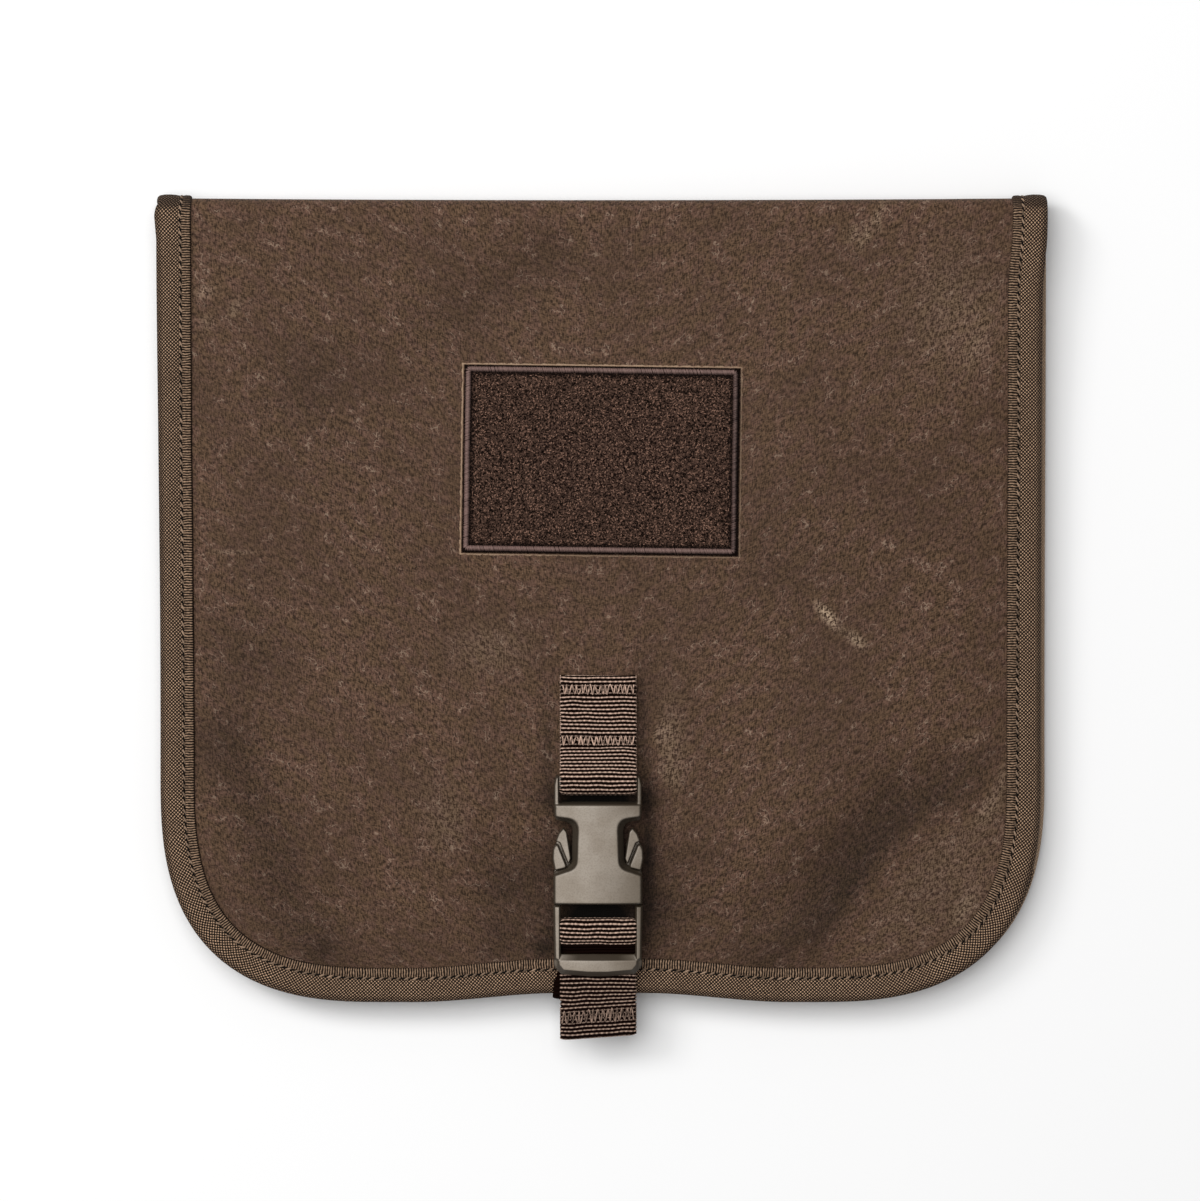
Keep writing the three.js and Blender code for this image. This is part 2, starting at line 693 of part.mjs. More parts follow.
function makeBuckleFemale() {
  const side = FEMALE_HALF_WIDTH;
  const waist = WAIST_HALF_WIDTH;
  const outline = mirroredOutline([
    [side - 1.2, FEMALE_BOTTOM_Y],
    [side, FEMALE_BOTTOM_Y + 1.2],
    [side, WINDOW_OUTER_Y - 0.5],
    [side - 0.5, WINDOW_OUTER_Y],
    [waist + 2.2, WINDOW_INNER_Y],
    [waist + 0.6, WINDOW_INNER_Y + 0.9],
    [waist, WINDOW_INNER_Y + 2.4],
    [waist, SHOULDER_Y - 3.2],
    [waist + 0.7, SHOULDER_Y - 1.2],
    [waist + 2.4, SHOULDER_Y],
    [side - 1.4, SHOULDER_Y],
    [side, SHOULDER_Y + 1.4],
    [side, FEMALE_TOP_Y - 1.5],
    [side - 0.9, FEMALE_TOP_Y],
  ]);
  const above = FEMALE_HEIGHT + 1;
  const innerHigh = FEMALE_HEIGHT - FEMALE_WALL;
  const mouth = FEMALE_BOTTOM_Y - 1;
  const prongRoom = side - FEMALE_WALL;
  const guideRoom = waist - FEMALE_WALL;
  const topBar = crossBar(roundBarSection(TOP_BAR), SLOT_HALF_WIDTH + 0.5);
  return plate(outline, 0, FEMALE_HEIGHT, BEVEL)
    .subtract(block(-SLOT_HALF_WIDTH, SLOT_HALF_WIDTH, SLOT_BOTTOM_Y, FEMALE_TOP_Y + 1, -1, above))
    .subtract(block(-side - 1, side + 1, SLOT_BOTTOM_Y + 1, FEMALE_TOP_Y + 1, RAIL_TOP_Z, above))
    .subtract(block(-prongRoom, prongRoom, mouth, WINDOW_INNER_Y + 1, FEMALE_WALL, innerHigh))
    .subtract(block(-guideRoom, guideRoom, mouth, SHOULDER_Y - 3, FEMALE_WALL, innerHigh))
    .add(topBar);
}

function makeProng(side) {
  const points = [
    [8.6, MALE_TOP_Y + 0.5],
    [PRONG_BASE_HALF_WIDTH, MALE_TOP_Y + 0.5],
    [PRONG_BASE_HALF_WIDTH, 0.4],
    [13.7, 1.0],
    [14.4, 2.2],
    [14.4, 7.4],
    [13.6, 8.6],
    [12.9, 10.6],
    [11.9, 13.8],
    [11.3, 14.4],
    [10.5, 13.8],
    [8.8, 9.5],
    [8.6, 4.0],
  ];
  const outline = new THREE.Shape(points.map(([x, y]) => new THREE.Vector2(side * x, y)));
  return plate(outline, PRONG_UNDER_Z, PRONG_TOP_Z, PRONG_BEVEL);
}

function makeBuckleMale() {
  const half = MALE_HALF_WIDTH;
  const outline = mirroredOutline([
    [half - 2.2, MALE_BOTTOM_Y],
    [half, MALE_BOTTOM_Y + 2.4],
    [half, MALE_TOP_Y - 0.5],
    [half - 0.5, MALE_TOP_Y],
  ]);
  const endBarSection = new THREE.Shape(
    [
      [END_BAR_Y, END_BAR_UNDER_Z + 0.6],
      [END_BAR_Y - 2.2, MALE_TOP_Z],
      [END_BAR_Y, MALE_TOP_Z + 1],
    ].map(([y, z]) => new THREE.Vector2(y, z)),
  );
  const above = MALE_TOP_Z + 1;
  const lipY = MALE_TOP_Y - LIP_WIDTH;
  const window = block(-RAIL_INNER, RAIL_INNER, END_BAR_Y, lipY, 0, above);
  const underStrap = block(-half - 1, half + 1, MALE_BOTTOM_Y - 1, END_BAR_Y + 0.5, 0, END_BAR_UNDER_Z);
  const overLip = block(-RAIL_INNER, RAIL_INNER, lipY - 1, MALE_TOP_Y + 1, LIP_TOP_Z, above);
  const base = PRONG_BASE_HALF_WIDTH;
  const guideHalf = GUIDE_HALF_WIDTH;
  const rootY = lipY + 0.3;
  const prongBase = block(-base, base, rootY, PRONG_BASE_Y, PRONG_UNDER_Z + 0.2, PRONG_TOP_Z - 0.2);
  const guide = block(-guideHalf, guideHalf, rootY, GUIDE_TOP_Y, PRONG_UNDER_Z + 0.4, PRONG_TOP_Z - 0.4);
  return plate(outline, RAIL_UNDER_Z, MALE_TOP_Z, BEVEL)
    .subtract(window)
    .subtract(underStrap)
    .subtract(crossBar(endBarSection, RAIL_INNER))
    .subtract(overLip)
    .add(crossBar(roundBarSection(MIDDLE_BAR), RAIL_INNER + 0.5))
    .add(prongBase)
    .add(guide)
    .add(makeProng(1))
    .add(makeProng(-1));
}

function named(name, geometry, look) {
  const mesh = new THREE.Mesh(geometry, look);
  mesh.name = name;
  return mesh;
}

const buckle = new THREE.Group();
buckle.position.set(BUCKLE.x, BUCKLE.y, BUCKLE.z);
buckle.rotation.x = BUCKLE.tilt;
buckle.add(named("buckle_female", geometryOf(makeBuckleFemale()), BUCKLE_LOOK));
buckle.add(named("buckle_male", geometryOf(makeBuckleMale()), BUCKLE_LOOK));

const bag = new THREE.Group();
bag.add(named("shell", makeShell(), CANVAS_LOOK));
bag.add(named("pouch_panel", makePouchPanel(), CANVAS_LOOK));
bag.add(named("binding", makeBinding(), TAPE_LOOK));
bag.add(named("patch_field", makePatchField(), PILE_LOOK));
bag.add(named("patch_border", makePatchBorder(), BORDER_LOOK));
bag.add(named("upper_strap", makeUpperStrap(), WEBBING_LOOK));
bag.add(named("lower_strap", makeLowerStrap(), WEBBING_LOOK));
bag.add(buckle);

export default bag;
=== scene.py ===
# The looks of a waxed-canvas toiletry bag that lies on its back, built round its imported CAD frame.
# Lengths are millimetres in the frame's axes: +X right, +Y towards the top fold, +Z up.
# Pieces turn them into metres.
import math

import bmesh
import bpy
import numpy as np
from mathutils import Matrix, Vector


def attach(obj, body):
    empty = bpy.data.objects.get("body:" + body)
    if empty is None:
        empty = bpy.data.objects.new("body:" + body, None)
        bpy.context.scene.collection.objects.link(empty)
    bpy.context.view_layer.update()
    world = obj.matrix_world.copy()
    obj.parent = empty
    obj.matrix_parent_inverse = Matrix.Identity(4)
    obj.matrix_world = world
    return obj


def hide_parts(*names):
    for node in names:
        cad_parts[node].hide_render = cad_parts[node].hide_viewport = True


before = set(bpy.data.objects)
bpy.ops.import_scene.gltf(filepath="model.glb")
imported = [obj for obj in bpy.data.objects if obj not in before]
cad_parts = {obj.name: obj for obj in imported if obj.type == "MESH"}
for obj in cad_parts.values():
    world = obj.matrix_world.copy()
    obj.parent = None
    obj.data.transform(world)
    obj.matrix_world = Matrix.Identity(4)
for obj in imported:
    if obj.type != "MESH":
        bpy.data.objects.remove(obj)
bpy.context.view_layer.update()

MM = 0.001
BODY = "root"

# Cloth and tape
CANVAS = 1.5
HALF_CANVAS = CANVAS / 2
TAPE = 1.0
GAP = 0.3
TAPE_COVER = 10.6
TAPE_REACH = TAPE + GAP

# Outline of the bag, measured over the binding
HALF_WIDTH = 142.7
FOLD_Y = 134.3
FOLD_DIP = 0.6
BOTTOM_Y = -123.5
CORNER_RADIUS = 72.0
LEFT_CORNER_FULLNESS = 2.72
RIGHT_CORNER_FULLNESS = 2.68
CANVAS_CORNER = CORNER_RADIUS - TAPE_REACH
TAPER_LENGTH = 160.0
LEFT_TAPER = 1.2
RIGHT_TAPER = 0.5
FLAP_SET_BACK = 1.6
SET_BACK_LENGTH = 25.0
BODY_SHORTER = 1.2
STRAP_LIFT = 2.9
STRAP_LIFT_INNER = 14.0
STRAP_LIFT_OUTER = 60.0

# Heights of the middle of each canvas wall above the surface
BACK_FLAT = HALF_CANVAS
BACK_CURL = 3.2
BACK_CURL_AT_SIDES = 1.45
SIDE_CURL_FROM_Y = -88.0
SIDE_CURL_TO_Y = -40.0
CURL_INNER = 36.0
CURL_OUTER = 18.0
FLAP_EDGE = 10.15
FLAP_EDGE_AT_FOLD = 12.95
FLAP_CREST = 17.5
FLAP_CREST_AT_FOLD = 13.75
EDGE_FALL_LENGTH = 70.0
CREST_RISE_LENGTH = 80.0
SIDE_SLOPE = 75.0
BOTTOM_SLOPE = 100.0
POUCH_ON_BACK = 1.8
POUCH_UNDER_FLAP = 2.4
FOLD_START_Y = 126.4
MOUTH_Y = FOLD_Y - 22.0

# Creases of the flap: start, end, depth and half width of each valley
CREASES = [
    (50.6, -107.8, 92.0, -58.0, 2.2, 11.0),
    (92.0, -58.0, 122.6, -47.0, 1.5, 9.0),
    (-119.7, -40.6, -91.8, -107.8, 1.8, 11.0),
    (-35.8, -77.4, -30.0, -106.0, 1.0, 9.0),
    (-55.0, 92.0, -13.0, 118.0, 0.7, 9.0),
]
CREASE_FADE_OUTER = 17.0
CREASE_FADE_INNER = 32.0

# Soft relief of the cloth: feature size, height and seed of each layer
RELIEF = [(46, 0.4, 11), (19, 0.2, 12), (7.5, 0.07, 13)]
RELIEF_FADE_OUTER = 4.0
RELIEF_FADE_INNER = 14.0

# Puckers along the tape, higher at the bottom edge than at the sides
PUCKER_PITCH = 8.0
PUCKER_STRETCH = 0.25
PUCKER_HEIGHT = 0.4
SIDE_PUCKER_HEIGHT = 0.16
PUCKER_REACH = 10.0
PUCKERS_PAST_TAPE = 5.0
SIDE_PUCKERS_PAST_TAPE = 4.0

# Scuffs and blotches of the flap, with painted light and shade: place, length, width, turn in degrees and how
# light (or dark) each is. The darkest rows, under the buckle, are painted shade seen through its slots; the
# narrow dark rows beside the strap and the buckle are painted shadows; the rows along the lower right crease
# paint its shaded and lit slopes; soft light rows such as the one at the right edge are painted sheen.
SCUFFS_AND_PAINTED_SHADING = [
    (71.8, 0.6, 9.5, 3.4, -50, 0.6), (81.2, -7.4, 6, 3.2, -40, 0.4), (86.5, 125, 16, 1.8, 60, 0.3),
    (81, 122, 6, 2.5, 40, 0.2), (-127, 104, 6, 3, 20, 0.2), (-126.4, 94, 4, 4, 0, 0.15),
    (-117.4, 98.6, 7, 3, 60, 0.15), (18.6, -37.4, 8, 5, 30, 0.15), (119.4, -39, 15, 5, 15, 0.2),
    (119.4, 85.8, 13, 5, 70, 0.1), (116.2, -93.4, 13, 5, 60, 0.16), (-104.6, 65, 18, 1.2, 90, 0.18),
    (-117, 20.8, 15, 1.2, 0, 0.2), (106, -82, 60, 34, 48, 0.07), (63.4, -107, 5, 3, 50, 0.35),
    (72, -93.4, 13, 0.9, -3, 0.3), (125, -48.6, 9, 4, 70, 0.25), (-26, -84, 21, 13, 0, -0.22),
    (-34, -100, 9, 7, 0, -0.2), (-19, -106, 8, 7, 20, -0.5), (-65.6, -107.8, 7, 5, 60, -0.25),
    (-88.6, -105.6, 8, 6, 60, -0.25), (18.6, -90, 30, 12, 90, -0.2), (33, -77, 24, 10, 0, -0.14),
    (72.5, -97, 32, 9, 52, -0.3), (83, -81, 30, 10, 52, -0.3), (100, -63, 30, 9, 40, -0.24),
    (112, -59, 18, 8, 15, -0.2), (54, -99, 30, 9, 55, 0.2), (63, -84, 26, 8, 58, 0.12),
    (80, -58, 36, 9, 45, 0.16), (123.5, -59, 14, 5, 70, 0.22), (128.5, -50, 16, 4, 80, 0.25),
    (112, 98, 30, 36, 0, 0.08), (22, -52, 46, 9, 90, 0.12), (27, -92, 28, 12, 0, -0.2),
    (-17.2, -42, 34, 5, 90, -0.4), (-93.7, -80, 24, 5, 95, 0.2), (-36, -108, 8, 9, 0, -0.22),
    (-33, -87, 11, 8, 0, -0.14), (-47, -69, 32, 15, -60, 0.08), (-36, -10, 24, 14, 0, 0.08),
    (-105, -13, 22, 16, 0, -0.12), (-85, 45, 60, 80, 0, -0.06), (-96.6, 73, 40, 26, 40, -0.2),
    (-115.8, -10, 44, 22, 80, -0.2), (60, 20, 60, 40, 10, -0.1), (13.2, -36, 38, 4, 90, -0.4),
    (15, -72, 44, 4, 90, -0.5), (-1.3, -58, 30, 9, 0, -1.4), (-1.3, -76, 30, 22, 0, -1),
    (-1.3, -99, 30, 24, 0, -1.4),
]
# Shade painted into the crease valleys, per millimetre of their depth
CREASE_PAINTED_SHADE = 0.2

# Points of the cloth's grids: across, round each corner, along each side and over the fold
SHELL_COLUMNS = 171
POUCH_COLUMNS = 81
BACK_STEPS = (22, 50)
FLAP_STEPS = (44, 124)
POUCH_STEPS = (18, 50)
EDGE_STEPS = (40, 110)
BOTTOM_STEPS = 106
SHELL_FOLD_STEPS = 18
TAPE_FOLD_STEPS = 14
SHORT_OF_FOLD = 4.0

# Patch sewn to the flap
PATCH_X = -0.3
PATCH_Y = 49.9
PATCH_WIDTH = 88.5
PATCH_HEIGHT = 60.2
PATCH_TURN = math.radians(-0.8)
PATCH_FIELD = 1.0
PATCH_CORNER = 0.5
BACKING_TONE = 0.15
GROOVE_SHADE_TONE = -0.1
RIDGE_WIDTH = 2.2
RIDGE_HEIGHT = 1.8
RIDGE_SET_IN = 0.45
GROOVE_WIDTH = 0.5
SATIN_PITCH = 0.42
SATIN_RADIUS = 0.27
SATIN_LIFT = 0.1
SATIN_SLANT = 0.35
SATIN_SLANT_SPREAD = 0.07
SATIN_WAVER = 0.06
SATIN_WAVER_SIZE = 3.0
SATIN_SHADING = 0.45
PILE_COUNT = 9400
PILE_POINTS = 4
PILE_STEP = 0.32
PILE_CURL = 0.75
PILE_RADIUS = 0.21
PILE_SIDES = 3
THREAD_SIDES = 6

# Webbing
WEBBING = 1.5
HALF_WEBBING = WEBBING / 2
WEBBING_WIDTH = 24.2
WEBBING_COLUMNS = 45
RIB_PITCH = 1.254
RIB_ROWS = 6
RIB_SHARPNESS = 1.3
RIB_OVERHANG = 0.45
BEAD_PITCH = 1.55
BEAD_SHIFT = 0.37
BEAD_DEPTH = 0.12
RIB_SWAY = 0.2
STRAP_X = -1.2
LOAD_X = -3.5
BAR_CLEARANCE = GAP + HALF_WEBBING
UPPER_STRAP_TOP_Y = -18.6
UPPER_STRAP_SEWN_Y = -42.0
STRAP_FALL = 64.0
LOWER_STRAP_SEWN_Y = -75.0
RECESS_LIFT = 1.98
RECESS_HALF_WIDTH = WEBBING_WIDTH / 2 + 6
RECESS_TOP_Y = LOWER_STRAP_SEWN_Y + 12
RECESS_EASE = 10.0
FLOOR_CLEARANCE = 0.1
EDGE_TURN_Y = -118.7
EDGE_TURN_RADIUS = 3.05
EDGE_TURN_TOP_Z = 11.4
LOAD_SHIFT_FROM_Y = -110.0
LOAD_SHIFT_TO_Y = -119.0
TAIL_OVER_EDGE_Z = 16.3
TAIL_BEND = (-126.0, 15.2)
TAIL_END = (-133.25, 12.6)
TAIL_DROOP = 14.0
TAIL_FOLD = 9.0
TAIL_SKEW = 0.07

# Zigzag tacks: where each run of them starts and ends along its strap
UPPER_TACKS = [(-21.4, -25.0), (-37.7, -41.3)]
TAIL_TACKS = (-125.0, -129.6)
TACK_COUNT = 15
TACK_POINTS = 5
TACK_RADIUS = 0.22
TACK_LIFT = 0.25
TACK_INSET = 0.5

# How light the webbing is: under its tacks, in the adjuster, on the tail and behind the bottom edge; in the
# adjuster and behind the bottom edge this is painted shade.
TACKED_LIGHTNESS = 0.65
SHADED_ADJUSTER_LIGHTNESS = 0.05
TAIL_LIGHTNESS = 0.8
SHADED_BEHIND_LIGHTNESS = 0.15
ADJUSTER_PAST_BAR = 3.0
TAIL_BEFORE_EDGE = 6.0

# Side-release buckle, in its own frame: y along the strap, z up from its underside
BUCKLE_X = -1.3
BUCKLE_Y = -81.2
BUCKLE_Z = 16.6
BUCKLE_TILT = 5.5
BUCKLE_HALF_WIDTH = 14.3
CROWN = 2.0
CROWN_FROM_Z = 3.0
CROWN_TO_Z = 8.0
BAR_HALF_LENGTH = 13.0
WAIST_Y = BUCKLE_Y + 10.2
TOP_BAR_NEAR = 27.9
TOP_BAR_FAR = 29.9
TOP_BAR_Z = 3.4
TOP_BAR_RADIUS = 1.2
MIDDLE_BAR_NEAR = -17.4
MIDDLE_BAR_FAR = -19.9
MIDDLE_BAR_Z = 3.6
MIDDLE_BAR_RADIUS = 1.0
MALE_BOTTOM_Y = -31.7
END_BAR_Y = -25.6
TAIL_TURN_Y = END_BAR_Y + 0.4
TAIL_TURN_Z = 4.15
TAIL_TURN_RADIUS = 1.5
VOXEL = 0.2
EASING_ROUNDS = 7
TRIANGLES_KEPT = 0.4

# Stage, camera and light
FLOOR_HALF_WIDTH = 3000.0
FLOOR_DROP = 0.05
WORLD_STRENGTH = 0.28
CAMERA_X = -0.64
CAMERA_Y = 5.2
CAMERA_HEIGHT = 2147.0
CAMERA_LENS = 200.0
SENSOR_WIDTH = 36.0
CAMERA_REACH = 20000.0


def smoothstep(x, low, high):
    t = np.clip((x - low) / (high - low), 0, 1)
    return t * t * (3 - 2 * t)


def level_off(t):
    """A rise from 0 to 1 that leaves its start steeply and arrives level."""
    share = np.clip(t, 0, 1)
    return share * (2 - share)


def lerp(a, b, t):
    return a + (b - a) * t


def unit(vectors):
    return vectors / np.maximum(np.linalg.norm(vectors, axis=-1, keepdims=True), 1e-9)


def soft_noise(x, y, size, seed):
    """A smooth random field from -1 to 1 whose features are about size across."""
    cells = 128
    lattice = np.random.default_rng(seed).uniform(-1, 1, (cells, cells))
    u = np.asarray(x) / size + cells / 2
    v = np.asarray(y) / size + cells / 2
    i = np.floor(u).astype(int)
    j = np.floor(v).astype(int)
    a = smoothstep(u - i, 0, 1)
    b = smoothstep(v - j, 0, 1)

    def corner(di, dj):
        return lattice[(i + di) % cells, (j + dj) % cells]

    low = lerp(corner(0, 0), corner(1, 0), a)
    high = lerp(corner(0, 1), corner(1, 1), a)
    return lerp(low, high, b)


# Outline and heights of the canvas


def bottom_edge(layer):
    return BOTTOM_Y + TAPE_REACH + (0 if layer == "flap" else BODY_SHORTER)


def strap_pull(x):
    """How far the strap pulls the middle of the bottom edge up."""
    return STRAP_LIFT * (1 - smoothstep(np.abs(x), STRAP_LIFT_INNER, STRAP_LIFT_OUTER))


def edge_x(side, y, layer):
    """Where the canvas ends at a side, -1 left or 1 right; a corner fuller than 2 is squarer than round."""
    down = FOLD_START_Y - y
    taper = LEFT_TAPER if side < 0 else RIGHT_TAPER
    set_back = FLAP_SET_BACK if layer == "flap" and side > 0 else 0
    tapered = HALF_WIDTH - TAPE_REACH - taper * smoothstep(down, 0, TAPER_LENGTH)
    straight = tapered - set_back * smoothstep(down, 0, SET_BACK_LENGTH)
    fullness = LEFT_CORNER_FULLNESS if side < 0 else RIGHT_CORNER_FULLNESS
    short = np.clip(1 - (y - bottom_edge(layer)) / CANVAS_CORNER, 0, 1)
    return side * (straight - CANVAS_CORNER + CANVAS_CORNER * (1 - short**fullness) ** (1 / fullness))


def edge_distances(x, y, layer):
    left = x - edge_x(-1, y, layer)
    right = edge_x(1, y, layer) - x
    bottom = y - bottom_edge(layer) - strap_pull(x)
    return left, right, bottom


def inside_share(x, y, layer, outer, inner):
    """0 at the side and bottom edges of a layer, 1 well inside it."""
    left, right, bottom = (smoothstep(d, outer, inner) for d in edge_distances(x, y, layer))
    return left * right * bottom


def back_height(x, y):
    curl = 1 - inside_share(x, y, "body", CURL_OUTER, CURL_INNER)
    curl_rise = lerp(BACK_CURL, BACK_CURL_AT_SIDES, smoothstep(y, SIDE_CURL_FROM_Y, SIDE_CURL_TO_Y))
    beside = smoothstep(np.abs(x - LOAD_X), RECESS_HALF_WIDTH, RECESS_HALF_WIDTH + RECESS_EASE)
    past = smoothstep(y, RECESS_TOP_Y, RECESS_TOP_Y + RECESS_EASE)
    recess = RECESS_LIFT * (1 - beside) * (1 - past)
    return BACK_FLAT + curl_rise * curl + recess * (1 - curl)


def crease_valleys(x, y):
    depth = np.zeros_like(x)
    for x0, y0, x1, y1, deep, width in CREASES:
        along_x = x1 - x0
        along_y = y1 - y0
        share = ((x - x0) * along_x + (y - y0) * along_y) / (along_x**2 + along_y**2)
        share = np.clip(share, 0, 1)
        distance = np.hypot(x - x0 - share * along_x, y - y0 - share * along_y)
        depth = np.maximum(depth, deep * np.exp(-((distance / width) ** 2)))
    return depth


def crease_depth(x, y):
    """Depth of the flap's creases, which die out before they reach the tape."""
    return crease_valleys(x, y) * inside_share(x, y, "flap", CREASE_FADE_OUTER, CREASE_FADE_INNER)


def puckers_near(from_edge, past_tape, x, y, seed):
    """Small puckers beside an edge's tape, from -1 to 1."""
    near = np.exp(-(((from_edge - TAPE_COVER - past_tape) / PUCKER_REACH) ** 2))
    return near * soft_noise(x, y, PUCKER_PITCH, seed)


def cloth_relief(x, y):
    """Gentle unevenness of the flap, with small puckers where the binding gathers its edge."""
    relief = sum(height * soft_noise(x, y, size, seed) for size, height, seed in RELIEF)
    left, right, bottom = edge_distances(x, y, "flap")
    from_side = np.minimum(left, right)
    at_bottom = puckers_near(bottom, PUCKERS_PAST_TAPE, x, y * PUCKER_STRETCH, 21)
    at_sides = puckers_near(from_side, SIDE_PUCKERS_PAST_TAPE, x * PUCKER_STRETCH, y, 22)
    relief = relief + PUCKER_HEIGHT * at_bottom + SIDE_PUCKER_HEIGHT * at_sides
    return relief * inside_share(x, y, "flap", RELIEF_FADE_OUTER, RELIEF_FADE_INNER)


def flap_height(x, y):
    down = FOLD_START_Y - y
    edge = lerp(FLAP_EDGE_AT_FOLD, FLAP_EDGE, smoothstep(down, 0, EDGE_FALL_LENGTH))
    crest = lerp(FLAP_CREST_AT_FOLD, FLAP_CREST, smoothstep(down, 0, CREST_RISE_LENGTH))
    left, right, bottom = edge_distances(x, y, "flap")
    sides = level_off(left / SIDE_SLOPE) * level_off(right / SIDE_SLOPE)
    return lerp(edge, crest, sides * level_off(bottom / BOTTOM_SLOPE)) - crease_depth(x, y)


def uneven_flap_height(x, y):
    return flap_height(x, y) + cloth_relief(x, y)


def pouch_height(x, y):
    inside = inside_share(x, y, "body", CURL_OUTER, CURL_INNER)
    return lerp(back_height(x, y) + POUCH_ON_BACK, flap_height(x, y) - POUCH_UNDER_FLAP, inside)


def place_on(height, facing, x, y):
    """Points on a wall and the normals that face out of the bag."""
    step = 0.5
    slope_x = (height(x + step, y) - height(x - step, y)) / (2 * step)
    slope_y = (height(x, y + step) - height(x, y - step)) / (2 * step)
    normal = unit(np.stack([-slope_x, -slope_y, np.ones_like(slope_x)], -1))
    return np.stack([x, y, height(x, y)], -1), facing * normal


def on_back(x, y):
    return place_on(back_height, -1, x, y)


def on_flap(x, y):
    return place_on(uneven_flap_height, 1, x, y)


def fold_y(x):
    """Where the flap and the back end and the fold's half round begins."""
    radius = (flap_height(x, FOLD_START_Y) - back_height(x, FOLD_START_Y)) / 2
    return FOLD_Y - FOLD_DIP * (1 - (x / HALF_WIDTH) ** 2) - HALF_CANVAS - radius


def on_fold(x, angle):
    """The fold turns from the back (-90 degrees) to the flap (90 degrees)."""
    low = back_height(x, FOLD_START_Y)
    high = flap_height(x, FOLD_START_Y)
    radius = ((high - low) / 2)[..., None]
    normal = np.stack([np.zeros_like(x), np.cos(angle), np.sin(angle)], -1)
    centre = np.stack([x, fold_y(x), (high + low) / 2], -1)
    return centre + radius * normal, normal


# Meshes


def grid_faces(rows, columns, closed_rows=False, closed_columns=False):
    """Quads between the points of a grid, as point numbers."""
    r = np.arange(rows if closed_rows else rows - 1)[:, None]
    c = np.arange(columns if closed_columns else columns - 1)[None, :]
    next_r = (r + 1) % rows
    next_c = (c + 1) % columns
    corners = [r * columns + c, next_r * columns + c, next_r * columns + next_c, r * columns + next_c]
    return np.stack([np.broadcast_to(k, (r.size, c.size)) for k in corners], -1).reshape(-1, 4)


def mesh_piece(name, points, faces, material, slot, nodes=(), uv=None, **tones):
    """A smooth-shaded piece that rides on the bag and stands for CAD nodes; uv and tones are per point."""
    mesh = bpy.data.meshes.new(name)
    mesh.from_pydata((np.asarray(points).reshape(-1, 3) * MM).tolist(), [], faces)
    working = bmesh.new()
    working.from_mesh(mesh)
    bmesh.ops.recalc_face_normals(working, faces=working.faces)
    working.to_mesh(mesh)
    working.free()
    mesh.shade_smooth()
    if uv is not None:
        corner_points = np.zeros(len(mesh.loops), np.int32)
        mesh.loops.foreach_get("vertex_index", corner_points)
        flat = (np.asarray(uv).reshape(-1, 2) * MM)[corner_points]
        mesh.uv_layers.new(name="UVMap").data.foreach_set("uv", flat.astype(np.float32).ravel())
    for tone, values in tones.items():
        attribute = mesh.attributes.new(tone, "FLOAT", "POINT")
        attribute.data.foreach_set("value", np.asarray(values, np.float32).ravel())
    piece = add_object(name, mesh)
    mesh.materials.append(material)
    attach(piece, BODY)
    if nodes:
        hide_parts(*nodes)
    return piece


def add_object(name, data):
    made = bpy.data.objects.new(name, data)
    bpy.context.scene.collection.objects.link(made)
    return made


def thicken(piece, thickness):
    solidify = piece.modifiers.new("thickness", "SOLIDIFY")
    solidify.thickness = thickness * MM
    solidify.offset = 0


def tubes(lines, radius, sides, up):
    """Round threads along many lines of equal point count, closed at both ends."""
    count, steps, _ = lines.shape
    along = unit(np.gradient(lines, axis=1))
    side = unit(np.cross(along, up))
    top = np.cross(side, along)
    turn = np.arange(sides) * (2 * math.pi / sides)
    spokes = np.cos(turn)[:, None] * side[:, :, None, :] + np.sin(turn)[:, None] * top[:, :, None, :]
    points = lines[:, :, None, :] + np.broadcast_to(radius, (count, steps))[:, :, None, None] * spokes
    walls = grid_faces(steps, sides, closed_columns=True)
    first = np.arange(count) * steps * sides
    faces = (first[:, None, None] + walls).reshape(-1, 4).tolist()
    ring = np.arange(sides)
    faces += (first[:, None] + ring[::-1]).tolist()
    faces += (first[:, None] + (steps - 1) * sides + ring).tolist()
    return points.reshape(-1, 3), faces


def close_rings(rings):
    """The points and faces of a solid whose rings follow each other from end to end."""
    count = len(rings[0])
    faces = grid_faces(len(rings), count, closed_columns=True).tolist()
    faces.append(list(range(count))[::-1])
    faces.append([(len(rings) - 1) * count + k for k in range(count)])
    return np.vstack(rings), faces


def joined(solids):
    """Several solids, each given as its points and faces, as one."""
    all_faces = []
    first = 0
    for points, faces in solids:
        all_faces += [[first + k for k in face] for face in faces]
        first += len(points)
    return np.vstack([points for points, _ in solids]), all_faces


def per_ring(values, sides):
    """A value per line point, repeated for each point of the thread round it."""
    return np.repeat(np.asarray(values)[..., None], sides, -1)


def lengths_along(points):
    """Distance along each column of a grid, from its first row."""
    steps = np.linalg.norm(np.diff(points, axis=0), axis=-1)
    return np.concatenate([np.zeros_like(steps[:1]), np.cumsum(steps, axis=0)])


def distance_along(line):
    return lengths_along(line[:, None])[:, 0]


def line_at(at, distance, line):
    """Points of a line at some distances along it."""
    return np.stack([np.interp(at, distance, column) for column in line.T], -1)


# Materials


def srgb(red, green, blue):
    """A colour given as it shows on screen, 0 to 255."""

    def linear(channel):
        share = channel / 255
        return share / 12.92 if channel < 10.3 else ((share + 0.055) / 1.055) ** 2.4

    return (linear(red), linear(green), linear(blue), 1.0)


class Value:
    """A number or vector that varies over a surface; sums with it add nodes to its shader."""

    def __init__(self, shader, socket):
        self.shader = shader
        self.socket = socket

    def __add__(self, other):
        return self.shader.math("ADD", self, other)

    def __sub__(self, other):
        return self.shader.math("SUBTRACT", self, other)

    def __mul__(self, other):
        return self.shader.math("MULTIPLY", self, other)

    def __abs__(self):
        return self.shader.math("ABSOLUTE", self)


